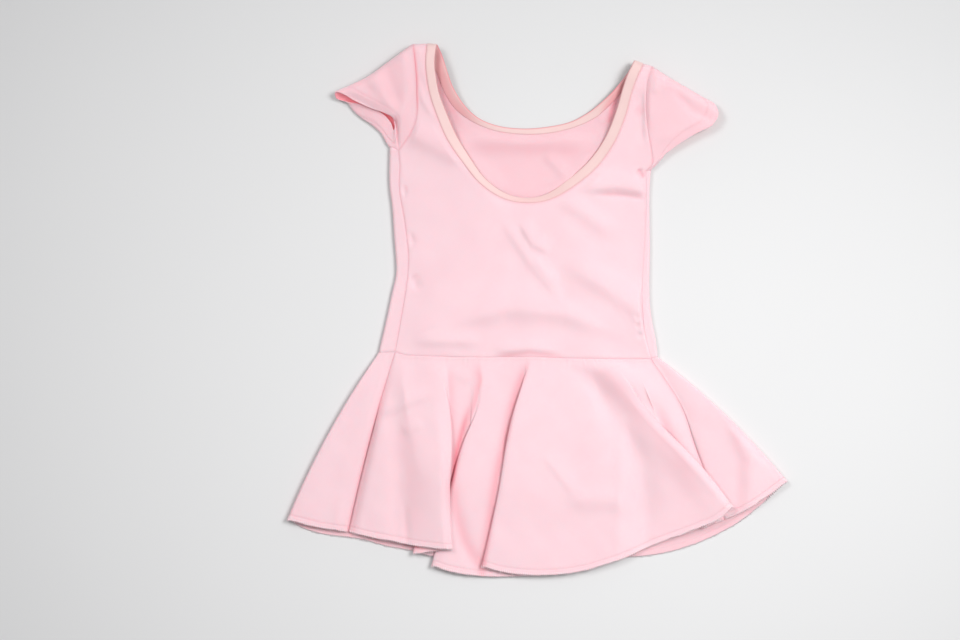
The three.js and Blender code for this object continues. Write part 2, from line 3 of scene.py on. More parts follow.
import bpy
import numpy as np
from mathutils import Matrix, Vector


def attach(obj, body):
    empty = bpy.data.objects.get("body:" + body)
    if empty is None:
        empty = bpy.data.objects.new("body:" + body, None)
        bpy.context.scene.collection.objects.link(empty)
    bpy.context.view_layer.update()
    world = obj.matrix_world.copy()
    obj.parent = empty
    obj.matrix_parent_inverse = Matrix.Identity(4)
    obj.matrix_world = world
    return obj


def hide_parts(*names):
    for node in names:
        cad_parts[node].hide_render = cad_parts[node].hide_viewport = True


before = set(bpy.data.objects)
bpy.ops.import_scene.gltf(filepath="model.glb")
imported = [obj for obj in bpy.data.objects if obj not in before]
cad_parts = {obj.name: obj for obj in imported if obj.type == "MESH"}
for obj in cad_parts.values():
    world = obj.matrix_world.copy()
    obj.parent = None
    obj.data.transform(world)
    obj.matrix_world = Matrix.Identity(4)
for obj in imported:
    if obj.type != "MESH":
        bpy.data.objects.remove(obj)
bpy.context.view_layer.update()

mm = 0.001
finer = 8         # steps here for each step of the solids
seamGap = 0.2     # mm that the edge of a cloth is drawn back from its seam
seamWide = 1.3    # mm over which cloth dips towards a seam
floorGap = 0.02   # mm that the lowest cloth and thread keep over the surface
farOff = 99.0     # mm, where there is no such edge near
print("frame loaded:", len(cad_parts), "solids")


def mix(a, b, t):
    return a + (b - a) * t


def smooth(t):
    t = np.clip(t, 0, 1)
    return t * t * (3 - 2 * t)


def nearTo(distance, width):
    # 1 at a line, fading to nothing about two widths away
    return np.exp(-(distance / width) ** 2)


def closerAtEnds(steps, share):
    # places from 0 to 1 that lie closer together at both ends
    t = np.linspace(0, 1, steps + 1)
    return (1 - share) * t + share * (0.5 - 0.5 * np.cos(math.pi * t))


def table(columns, rows):
    # rows of numbers under named columns, as one array for each name
    return dict(zip(columns.split(), np.array(rows, float).T))


def points(rows):
    return np.array(rows, float)


class Curve:
    # a smooth curve through points; at(i) is its place at row i, whole or not
    def __init__(self, rows, closed=False):
        rows = np.asarray(rows, float)
        self.spans = len(rows) if closed else len(rows) - 1
        before = rows[-1:] if closed else 2 * rows[:1] - rows[1:2]
        after = rows[:3] if closed else np.vstack([2 * rows[-1:] - rows[-2:-1]] * 2)
        self.rows = np.vstack([before, rows, after])
        steps = np.diff(self.rows[:, :3], axis=0)     # spaced by the first three columns
        self.steps = np.maximum((steps ** 2).sum(1), 1e-12) ** 0.25

    def at(self, i):
        i = np.clip(np.asarray(i, float), 0, self.spans)
        k = np.minimum(i.astype(int), self.spans - 1)
        w = (i - k)[..., None]
        a, b, c, d = (self.rows[k + n] for n in range(4))
        p, q, r = (self.steps[k + n][..., None] for n in range(3))
        p = np.where(p < 1e-3, q, p)
        r = np.where(r < 1e-3, q, r)
        start = ((b - a) / p - (c - a) / (p + q) + (c - b) / q) * q
        end = ((c - b) / q - (d - b) / (q + r) + (d - c) / r) * q
        return (b + start * w + (3 * (c - b) - 2 * start - end) * w ** 2
                + (2 * (b - c) + start + end) * w ** 3)


def lengthsAlong(line, axis=0):
    # how far each point of a line, or of each line of a grid, is from its start
    steps = np.linalg.norm(np.diff(line, axis=axis), axis=-1)
    start = 0 * np.take(steps, [0], axis)
    return np.cumsum(np.concatenate([start, steps], axis), axis)


def creaseField(x, y, creases):
    # height of soft ridges and troughs along short lines: steep on one side, wide on the other
    height = np.zeros_like(x)
    for line, lift, near, far in creases:
        line = points(line)
        best = np.full(x.shape, 1e9)
        wide = np.ones_like(x)
        share = np.zeros_like(x)
        run = lengthsAlong(line)
        for k in range(len(line) - 1):
            (ax, ay), (bx, by) = line[k], line[k + 1]
            dx, dy = bx - ax, by - ay
            long2 = dx * dx + dy * dy
            t = ((x - ax) * dx + (y - ay) * dy) / long2
            low = -0.6 if k == 0 else 0
            high = 1.6 if k == len(line) - 2 else 1
            t = np.clip(t, low, high)
            off = np.hypot(x - ax - t * dx, y - ay - t * dy)
            side = (x - ax) * dy - (y - ay) * dx
            closer = off < best
            best = np.where(closer, off, best)
            wide = np.where(closer, np.where(side > 0, near, far), wide)
            share = np.where(closer, (run[k] + t * math.sqrt(long2)) / run[-1], share)
        ends = smooth((share + 0.3) / 0.45) * smooth((1.3 - share) / 0.45)
        height += lift * ends * nearTo(best, wide)
    return height


def swell(x, y, size, seed, octaves=2):
    # gentle uneven waves of about that size, from -1 to 1
    rng = np.random.RandomState(seed)
    total = np.zeros_like(x)
    weight = 0
    for octave in range(octaves):
        for _ in range(5):
            angle = rng.uniform(0, 2 * math.pi)
            phase = rng.uniform(0, 2 * math.pi)
            wave = 2 * math.pi / (size * rng.uniform(0.8, 1.5))
            total += np.sin((x * math.cos(angle) + y * math.sin(angle)) * wave + phase) * 0.6 ** octave
        weight += 2.5 * 0.6 ** octave
        size *= 0.45
    return total / weight


# the neck: where the cloth meets the elastic, then the elastic's free edge
neckFront = points([
    [-99.2, 239.2, 9.1, -90.6, 238.5, 9.1],
    [-99.6, 236.9, 14.0, -91.2, 236.2, 13.4],
    [-100.2, 231.0, 16.6, -92.0, 231.0, 15.8],
    [-100.6, 222.0, 17.0, -92.8, 222.0, 16.0],
    [-99.6, 209.0, 15.6, -91.4, 208.4, 14.6],
    [-96.8, 193.5, 13.2, -88.6, 194.5, 12.2],
    [-90.4, 174.5, 10.6, -81.8, 176.6, 9.4],
    [-81.5, 154.0, 8.8, -73.4, 157.6, 7.2],
    [-68.2, 134.3, 8.0, -62.0, 139.0, 5.4],
    [-51.5, 114.0, 8.2, -47.0, 118.4, 4.2],
    [-30.6, 100.6, 8.6, -28.2, 105.2, 3.5],
    [-10.0, 97.0, 8.8, -9.6, 101.2, 3.2],
    [10.0, 99.8, 8.6, 7.6, 104.8, 3.4],
    [33.2, 112.6, 8.2, 28.4, 118.8, 4.2],
    [54.0, 130.5, 8.0, 47.6, 136.6, 5.6],
    [68.8, 152.1, 8.8, 60.6, 155.6, 7.2],
    [78.5, 175.5, 10.2, 70.0, 178.6, 9.2],
    [84.0, 196.0, 12.4, 75.8, 198.5, 11.5],
    [89.3, 210.6, 13.8, 80.8, 213.0, 13.0],
    [92.6, 217.6, 12.6, 84.6, 220.4, 11.8],
    [94.2, 221.4, 8.1, 86.4, 224.2, 8.1],
])
neckBack = points([
    [-99.2, 239.2, 9.1, -90.6, 238.5, 9.1],
    [-98.6, 236.2, 6.6, -89.6, 236.8, 7.6],
    [-97.0, 229.0, 6.0, -86.4, 229.6, 9.0],
    [-93.8, 220.0, 6.8, -83.6, 221.4, 10.0],
    [-90.0, 211.5, 7.0, -81.0, 213.0, 10.0],
    [-84.5, 197.0, 5.6, -76.0, 199.8, 8.4],
    [-74.0, 181.2, 3.0, -65.4, 183.6, 5.4],
    [-58.0, 169.6, 1.2, -53.2, 172.9, 2.8],
    [-38.0, 161.8, 0.9, -36.2, 166.2, 1.5],
    [-14.0, 158.7, 0.9, -13.6, 163.6, 1.2],
    [10.0, 159.6, 0.9, 8.8, 165.2, 1.2],
    [33.0, 165.0, 1.0, 29.8, 169.8, 1.6],
    [52.0, 173.8, 1.6, 45.8, 178.2, 3.0],
    [63.0, 183.2, 2.8, 56.4, 186.4, 4.8],
    [74.0, 194.8, 4.0, 67.0, 196.4, 6.2],
    [83.0, 206.0, 4.4, 75.2, 206.0, 6.8],
    [89.5, 213.6, 4.4, 81.6, 214.8, 6.2],
    [93.0, 218.8, 5.0, 85.2, 221.4, 5.6],
    [94.2, 221.4, 8.1, 86.4, 224.2, 8.1],
])

# outer edges of the front and back, one stretch after another, with the neck rows they face
frontEdges = {
    "armholeLeft": ((0, 8), points([
        [-112.3, 239.0, 9.1], [-112.1, 236.6, 14.0], [-111.4, 230.5, 16.4],
        [-110.4, 221.0, 16.6], [-109.4, 208.0, 15.2], [-108.9, 190.0, 12.6],
        [-109.3, 173.0, 10.0], [-115.0, 158.5, 7.6], [-125.4, 143.8, 5.0]])),
    "sideLeft": ((8, 10), points([
        [-125.4, 143.8, 5.0], [-124.4, 130.0, 4.6], [-124.8, 110.0, 4.5], [-119.9, 80.0, 4.5],
        [-116.4, 48.0, 4.5], [-118.1, 23.0, 4.5], [-122.2, -2.0, 4.5], [-128.3, -37.2, 4.6]])),
    "waist": ((10, 12), points([
        [-128.3, -37.2, 4.6], [-117.9, -40.0, 5.0], [-97.0, -40.7, 6.4], [-77.7, -41.6, 5.2],
        [-52.0, -41.8, 6.4], [-29.5, -41.6, 5.2], [-5.5, -41.4, 7.0], [18.8, -42.4, 5.8],
        [58.7, -43.2, 6.4], [85.0, -43.3, 5.2], [101.9, -43.2, 4.6]])),
    "sideRight": ((12, 14), points([
        [101.9, -43.2, 4.6], [96.5, -21.8, 4.5], [93.8, 1.0, 4.5], [93.8, 25.0, 4.5],
        [95.5, 54.0, 4.5], [97.0, 86.2, 4.5], [97.4, 108.7, 4.5], [97.1, 125.3, 4.7]])),
    "armholeRight": ((14, 20), points([
        [97.1, 125.3, 4.7], [102.6, 131.0, 5.6], [102.0, 143.0, 7.2], [98.8, 160.0, 9.0],
        [96.7, 184.0, 11.8], [98.2, 206.0, 13.4], [101.6, 215.6, 12.2], [102.8, 219.0, 8.1]])),
}
backEdges = {
    "armholeLeft": ((0, 7), points([
        [-112.3, 239.0, 9.1], [-112.1, 235.6, 4.6], [-111.2, 228.0, 2.4], [-110.2, 216.0, 1.3],
        [-109.2, 200.0, 0.7], [-109.2, 182.0, 0.5], [-113.0, 162.0, 0.5], [-130.7, 146.5, 0.5]])),
    "sideLeft": ((7, 8), points([
        [-130.7, 146.5, 0.5], [-130.9, 114.0, 0.5], [-128.4, 92.0, 0.5], [-126.7, 66.0, 0.5],
        [-124.9, 34.0, 0.5], [-128.7, 16.0, 0.5], [-133.3, -6.0, 0.5], [-140.6, -37.8, 0.5]])),
    "waist": ((8, 11), points([
        [-140.6, -37.8, 0.5], [-100.0, -39.0, 0.5], [0.0, -40.0, 0.5], [105.3, -41.6, 0.5]])),
    "sideRight": ((11, 12), points([
        [105.3, -41.6, 0.5], [103.6, -27.0, 0.5], [99.8, -7.0, 0.5], [97.9, 12.4, 0.5],
        [98.2, 57.4, 0.5], [97.9, 105.4, 0.5], [99.2, 125.8, 0.5]])),
    "armholeRight": ((12, 18), points([
        [99.2, 125.8, 0.5], [102.2, 138.0, 0.5], [99.0, 158.0, 0.5], [97.0, 180.0, 0.7],
        [98.0, 200.0, 1.4], [100.8, 214.0, 3.2], [102.8, 219.0, 8.1]])),
}
parts = dict(armholeLeft=12, sideLeft=9, waist=16, sideRight=9, armholeRight=12)
sideFold = dict(radius=2.0, arc=6, top=2)  # the back turning up at the sides


def waistAt(x):
    # the waist seam's place at each x
    rows = frontEdges["waist"][1]
    x = np.asarray(x, float)
    k = np.clip(np.searchsorted(rows[:, 0], x), 1, len(rows) - 1)
    a, b = rows[k - 1], rows[k]
    share = (x - a[..., 0]) / (b[..., 0] - a[..., 0])
    return np.stack([x, mix(a[..., 1], b[..., 1], share), mix(a[..., 2], b[..., 2], smooth(share))], -1)


def panelPatches(neckRows, edges, settlesWithin, across):
    # a panel from its neck edge out to its outer edge, one grid for each stretch of that edge
    neck = Curve(neckRows[:, :3])
    t = closerAtEnds(across, 0.45)[None, :, None]
    patches = {}
    for name, ((first, last), rows) in edges.items():
        s = np.linspace(0, 1, parts[name] * finer + 1)
        outer = Curve(rows)
        start = neck.at(mix(first, last, s))[:, None]
        if edges is frontEdges and name == "waist":
            end = waistAt(mix(rows[0, 0], rows[-1, 0], s))[:, None]
        else:
            end = outer.at(s * outer.spans)[:, None]
        far = np.linalg.norm(start - end, axis=2)[..., None]
        settled = np.clip(t * np.maximum(1, far / settlesWithin), 0, 1)
        p = mix(start, end, t)
        p[..., 2] = mix(start[..., 2], end[..., 2], settled[..., 0])
        fromNeck, fromOuter = (t * far)[..., 0], ((1 - t) * far)[..., 0]
        patches[name] = dict(points=p, flat=p[..., :2].copy(), neck=fromNeck, outer=fromOuter)
    return patches


def sidePatch(name, outwards):
    # the strip of the back that turns up round a side and meets the front at the side seam
    foot, seam = Curve(backEdges[name][1]), Curve(frontEdges[name][1])
    s = np.linspace(0, 1, parts[name] * finer + 1)
    arc, top, radius = sideFold["arc"] * finer, sideFold["top"] * finer, sideFold["radius"]
    step = np.arange(arc + top + 1)
    angle = math.pi * np.minimum(1, step / arc)
    p = np.repeat(foot.at(s * foot.spans)[:, None], len(step), 1)
    p[..., 0] += outwards * radius * np.sin(angle)
    p[..., 2] += radius * (1 - np.cos(angle))
    p = mix(p, seam.at(s * seam.spans)[:, None], np.clip((step - arc) / top, 0, 1)[:, None])
    run = lengthsAlong(p, axis=1)
    flat = np.stack([p[:, :1, 0] + outwards * run, p[:, :1, 1] + 0 * run], -1)
    return dict(points=p, flat=flat, neck=np.full(run.shape, farOff), outer=run[:, -1:] - run)


# pieces in the making: middle surfaces of quads, with what is known at each corner
def matchPoints(p):
    # the first row at each place, to a thousandth of a millimetre, and each row's number among them
    keys = np.round((p + 1e-4) * 1000).astype(np.int64)
    _, first, inverse = np.unique(keys, axis=0, return_index=True, return_inverse=True)
    return first, inverse.reshape(-1)


def weld(patches):
    # patches as one surface: corners at one place become one, and keep the least of what is known there
    names = {name for patch in patches for name in patch} - {"points", "flat"}
    corners, quads, flats, known = [], [], [], {name: [] for name in names}
    base = 0
    for patch in patches:
        n, m = patch["points"].shape[:2]
        index = base + np.arange(n * m).reshape(n, m)
        cells = np.stack([index[:-1, :-1], index[1:, :-1], index[1:, 1:], index[:-1, 1:]], -1)
        quads.append(cells.reshape(-1, 4))
        corners.append(patch["points"].reshape(-1, 3))
        flats.append(patch["flat"].reshape(-1, 2))
        for name in names:
            known[name].append(np.broadcast_to(patch.get(name, farOff), (n, m)).reshape(-1))
        base += n * m
    corners, quads, flats = (np.concatenate(part) for part in (corners, quads, flats))
    first, inverse = matchPoints(corners)
    piece = dict(points=corners[first], quads=inverse[quads], flats=flats[quads], flat=flats[first])
    for name in names:
        lowest = np.full(len(first), 1e9)
        np.minimum.at(lowest, inverse, np.concatenate(known[name]))
        piece[name] = lowest
    return piece


def edgePairs(quads):
    pairs = np.concatenate([quads[:, [0, 1]], quads[:, [1, 2]], quads[:, [2, 3]], quads[:, [3, 0]]])
    return pairs[pairs[:, 0] != pairs[:, 1]]


def openEdges(quads):
    # directed edges that only one quad has
    pairs = edgePairs(quads)
    size = quads.max() + 1
    there = pairs[:, 0] * size + pairs[:, 1]
    back = pairs[:, 1] * size + pairs[:, 0]
    return pairs[~np.isin(there, back)]


def relax(piece, rounds, share=0.5):
    # heights settle to the mean of their neighbours, the edges stay
    pairs = edgePairs(piece["quads"])
    count = len(piece["points"])
    held = np.zeros(count, bool)
    held[openEdges(piece["quads"]).ravel()] = True
    near = np.bincount(pairs[:, 0], minlength=count) + np.bincount(pairs[:, 1], minlength=count)
    z = piece["points"][:, 2]
    for _ in range(rounds):
        around = (np.bincount(pairs[:, 0], z[pairs[:, 1]], count)
                  + np.bincount(pairs[:, 1], z[pairs[:, 0]], count))
        z = np.where(held, z, mix(z, around / np.maximum(near, 1), share))
    piece["points"][:, 2] = z


def outDirections(piece):
    # which way the cloth's outside faces at each corner
    p, q = piece["points"], piece["quads"]
    facing = np.cross(p[q[:, 2]] - p[q[:, 0]], p[q[:, 3]] - p[q[:, 1]])
    facing /= np.maximum(np.linalg.norm(facing, axis=1), 1e-9)[:, None] ** 0.5
    total = np.zeros_like(p)
    for k in range(4):
        for axis in range(3):
            total[:, axis] += np.bincount(q[:, k], facing[:, axis], len(p))
    return total


def unit(v):
    return v / np.maximum(np.linalg.norm(v, axis=-1), 1e-9)[..., None]


def shareDirections(pieces):
    # pieces that meet at a point lean the same way there
    for piece in pieces:
        piece["out"] = outDirections(piece)
    _, inverse = matchPoints(np.concatenate([piece["points"] for piece in pieces]))
    total = np.zeros((inverse.max() + 1, 3))
    for axis in range(3):
        total[:, axis] = np.bincount(inverse, np.concatenate([piece["out"][:, axis] for piece in pieces]))
    total = unit(total)
    at = 0
    for piece in pieces:
        piece["out"] = total[inverse[at:at + len(piece["points"])]]
        at += len(piece["points"])


def clothWall(piece, thick):
    # the thin closed wall round a middle surface, its edges drawn back and rounded
    p, out, quads = piece["points"], piece["out"], piece["quads"]
    edges = openEdges(quads)
    along = unit(p[edges[:, 1]] - p[edges[:, 0]])
    pull = np.zeros_like(p)
    for k in (0, 1):
        inward = unit(np.cross(out[edges[:, k]], along))
        for axis in range(3):
            pull[:, axis] += np.bincount(edges[:, k], inward[:, axis], len(p))
    pull /= np.maximum(1, (pull ** 2).sum(1))[:, None]
    over = np.broadcast_to(piece.get("over", thick / 2), len(p))[:, None]
    under = np.broadcast_to(piece.get("under", thick / 2), len(p))[:, None]
    drawn = p + pull * (seamGap + piece.get("ragged", 0 * p[:, 0]))[:, None]
    rimOf = np.full(len(p), -1)
    onRim = np.unique(edges)
    rimOf[onRim] = 2 * len(p) + np.arange(len(onRim))
    rim = (drawn - unit(pull) * 0.3 * thick + out * (over - under) / 2)[onRim]
    corners = np.concatenate([drawn + out * over, drawn - out * under, rim])
    corners[:, 2] = np.maximum(corners[:, 2], floorGap)
    n = len(p)
    a, b = edges[:, 0], edges[:, 1]
    faces = np.concatenate([
        quads, quads[:, ::-1] + n,
        np.stack([a, rimOf[a], rimOf[b], b], -1),
        np.stack([rimOf[a], a + n, b + n, rimOf[b]], -1)])
    flat = piece["flat"]
    flats = np.concatenate([
        piece["flats"], piece["flats"][:, ::-1],
        *[np.stack([flat[a], flat[a], flat[b], flat[b]], 1)] * 2])
    return corners, faces, flats, onRim


def addPiece(name, mesh):
    mesh.polygons.foreach_set("use_smooth", np.ones(len(mesh.polygons), bool))
    made = bpy.data.objects.new(name, mesh)
    bpy.context.scene.collection.objects.link(made)
    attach(made, "root")
    return made


def makeCloth(name, piece, materials, thick, node):
    p, quads = piece["points"], piece["quads"]
    corners, faces, flats, onRim = clothWall(piece, thick)
    mesh = bpy.data.meshes.new(name)
    mesh.vertices.add(len(corners))
    mesh.vertices.foreach_set("co", (corners * mm).ravel())
    mesh.loops.add(faces.size)
    mesh.loops.foreach_set("vertex_index", faces.ravel().astype(np.int32))
    mesh.polygons.add(len(faces))
    mesh.polygons.foreach_set("loop_start", np.arange(0, faces.size, 4, dtype=np.int32))
    mesh.update(calc_edges=True)
    layer = mesh.uv_layers.new(name="cloth")
    layer.data.foreach_set("uv", (flats * mm).reshape(-1, 2).ravel())
    # how much painted shade, a deeper rose, each corner has, on the outside, on the wrong side and round the
    # rim
    none = 0 * p[:, 0]
    shade, wrongSide = piece.get("shade", none), piece.get("wrongSide", 0) + none
    stored = mesh.attributes.new("shade", "FLOAT", "POINT")
    stored.data.foreach_set("value", np.concatenate([shade, wrongSide, shade[onRim]]).astype(np.float32))
    for material in materials:
        mesh.materials.append(material)
    if len(materials) > 1:
        inside = np.zeros(len(faces), np.int32)
        inside[len(quads):2 * len(quads)] = 1
        mesh.polygons.foreach_set("material_index", inside)
    mesh.validate()
    made = addPiece(name, mesh)
    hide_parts(node)
    diagonals = p[quads[:, 2]] - p[quads[:, 0]], p[quads[:, 3]] - p[quads[:, 1]]
    area = np.linalg.norm(np.cross(*diagonals), axis=1).sum() / 2
    print(f"{name}: {len(faces) * 2} triangles, {area / 1e6:.4f} square metres")
    return made


# materials
class Wire:
    # a socket that can be added, multiplied and so on, in a material's tree
    def __init__(self, tree, socket):
        self.tree, self.socket = tree, socket

    def maths(self, operation, *values):
        node = self.tree.nodes.new("ShaderNodeMath")
        node.operation = operation
        for socket, value in zip(node.inputs, values):
            if isinstance(value, Wire):
                self.tree.links.new(value.socket, socket)
            else:
                socket.default_value = value
        return Wire(self.tree, node.outputs[0])

    def __add__(self, other):
        return self.maths("ADD", self, other)

    def __sub__(self, other):
        return self.maths("SUBTRACT", self, other)

    def __rsub__(self, other):
        return self.maths("SUBTRACT", other, self)

    def __mul__(self, other):
        return self.maths("MULTIPLY", self, other)

    def sine(self):
        return self.maths("SINE", self)

    def size(self):
        return self.maths("ABSOLUTE", self)

    __radd__ = __add__
    __rmul__ = __mul__


class Finish:
    # a material whose nodes are added one after another
    def __init__(self, name):
        self.material = bpy.data.materials.new(name)
        self.material.use_nodes = True
        self.tree = self.material.node_tree
        self.shader = self.tree.nodes["Principled BSDF"]

    def node(self, kind, settings=None, inputs=None, output=0):
        made = self.tree.nodes.new("ShaderNode" + kind)
        for name, value in (settings or {}).items():
            setattr(made, name, value)
        for name, value in (inputs or {}).items():
            self.give(self.socket(made.inputs, name), value)
        return Wire(self.tree, self.socket(made.outputs, output))

    def socket(self, sockets, name):
        if isinstance(name, int):
            return sockets[name]
        return next(s for s in sockets if s.enabled and name in (s.identifier, s.name))

    def give(self, socket, value):
        if isinstance(value, Wire):
            self.tree.links.new(value.socket, socket)
        elif isinstance(value, tuple) and socket.type == "RGBA":
            socket.default_value = (*value, 1)
        else:
            socket.default_value = value

    def set(self, **values):
        for name, value in values.items():
            self.give(self.shader.inputs[name.replace("_", " ")], value)

    def between(self, first, second, share):
        return self.node("Mix", dict(data_type="RGBA"),
                         {"Factor_Float": share, "A_Color": first, "B_Color": second}, "Result_Color")

    def noise(self, place, scale, detail, roughness=0.5):
        return self.node("TexNoise", inputs=dict(Vector=place, Scale=scale, Detail=detail, Roughness=roughness))

    def relief(self, height, strength, depth):
        inputs = dict(Height=height, Strength=strength, Distance=depth * mm)
        return self.node("Bump", inputs=inputs, output="Normal")

    def places(self):
        # where on the object, and how far across and along the cut cloth
        lain = self.node("UVMap", dict(uv_map="cloth"))
        flat = [self.node("SeparateXYZ", inputs=dict(Vector=lain), output=axis) for axis in ("X", "Y")]
        return self.node("TexCoord", output="Object"), *flat


def colour(r, g, b):
    # a colour as the screen shows it, 0 to 255, in the light's own numbers
    return tuple(((c / 255 + 0.055) / 1.055) ** 2.4 if c > 10.3 else c / 3294.6 for c in (r, g, b))


jersey = dict(
    pale=colour(238, 204, 210),
    deep=colour(234, 196, 203),
    insidePale=colour(236, 199, 205),
    insideDeep=colour(232, 190, 197),
    sleevePale=colour(240, 190, 196),   # painted shade: the inside of the sleeves, a redder rose
    sleeveDeep=colour(234, 182, 190),
    fold=colour(226, 108, 124),         # where folds light each other
    wale=0.62,              # mm between columns of stitches
    course=0.48,            # mm between rows
    lean=2.2,               # how far the rows bend round each column
    roughness=0.85,
    smoother=0.08,          # less rough on top of a column
    relief=0.25,
    depth=0.12,             # mm
    sheen=0.12,
    sheenTint=(1, 0.93, 0.95),
    through=0.33,           # share of light that goes into the cloth and comes out beside or behind
    spread=(1.6, 0.5, 0.6), # mm that the red, green and blue of it go
    glow=colour(250, 140, 150),         # light through a thin sleeve into its dark inside
    glowStrength=0.16,
)
elastic = dict(
    pale=colour(231, 200, 197),
    deep=colour(228, 194, 191),
    rib=0.9,                # mm between the elastic's lengthwise ribs
    weave=0.7,              # mm between its crosswise threads
    roughness=0.6,
    relief=0.3,
    depth=0.1,
)


def foldShade(finish, base):
    # painted shade: a deeper rose in folds, seams and shadowed places, by the value stored on the mesh
    shade = finish.node("Attribute", dict(attribute_name="shade"), output="Fac")
    return finish.between(base, jersey["fold"], shade)


def makeJersey(name, pale, deep, glowStrength=0):
    finish = Finish(name)
    place, across, along = finish.places()
    wales = (across * (math.pi / (jersey["wale"] * mm))).sine().size()
    courses = (along * (2 * math.pi / (jersey["course"] * mm)) + wales * jersey["lean"]).sine()
    cloud = finish.noise(place, 28.0, 4.0, 0.55)
    fibre = finish.noise(place, 900.0, 3.0, 0.7)
    base = finish.between(deep, pale, cloud * 0.8 + fibre * 0.25)
    height = wales * 0.65 + courses * 0.25 + fibre * 0.5
    finish.set(Base_Color=foldShade(finish, base), Roughness=jersey["roughness"] - jersey["smoother"] * wales)
    finish.set(Normal=finish.relief(height, jersey["relief"], jersey["depth"]), Specular_IOR_Level=0.2)
    finish.set(Sheen_Weight=jersey["sheen"], Sheen_Roughness=0.45, Sheen_Tint=jersey["sheenTint"])
    finish.set(Subsurface_Weight=jersey["through"], Subsurface_Scale=mm, Subsurface_Radius=jersey["spread"])
    if glowStrength:
        finish.set(Emission_Color=jersey["glow"], Emission_Strength=glowStrength)
    return finish.material


def makeElastic(name):
    finish = Finish(name)
    place, across, along = finish.places()
    ribs = (across * (2 * math.pi / (elastic["rib"] * mm))).sine()
    weave = (along * (2 * math.pi / (elastic["weave"] * mm))).sine()
    base = finish.between(elastic["deep"], elastic["pale"], finish.noise(place, 60.0, 3.0) * 1.1)
    finish.set(Base_Color=foldShade(finish, base), Roughness=elastic["roughness"] + 0.05 * ribs)
    finish.set(Normal=finish.relief(ribs * 0.5 + weave * 0.3, elastic["relief"], elastic["depth"]))
    finish.set(Sheen_Weight=0.2, Sheen_Roughness=0.4, Specular_IOR_Level=0.35)
    return finish.material


def makeThread(name, tone):
    finish = Finish(name)
    twist = finish.noise(finish.node("TexCoord", output="Object"), 1500.0, 2.0)
    finish.set(Base_Color=finish.between(tone, tuple(c * 0.86 for c in tone), twist))
    finish.set(Roughness=0.6 + 0.1 * twist, Sheen_Weight=0.2)
    return finish.material


outside = makeJersey("jerseyOutside", jersey["pale"], jersey["deep"])
inside = makeJersey("jerseyInside", jersey["insidePale"], jersey["insideDeep"])
# the sleeves' inside: colours with painted shade, and a painted glow for light through the thin cloth
sleeveInside = makeJersey("jerseyInsideSleeve", jersey["sleevePale"], jersey["sleeveDeep"],
                          jersey["glowStrength"])
bindingFinish = makeElastic("neckElastic")
threadFinish = makeThread("pinkThread", colour(236, 194, 201))
loopFinish = makeThread("paleThread", colour(246, 224, 228))
print("materials made")
print("materials made")

def seamDips(piece):
    # how near a seam each corner of a bodice piece is; the right side's seam is faint
    x, y = piece["points"][:, :2].T
    faint = 1 - 0.7 * smooth((x - 80) / 8) * smooth((128 - y) / 6) * smooth((y + 44) / 8)
    return faint * nearTo(np.minimum(piece["neck"], piece["outer"]), seamWide)


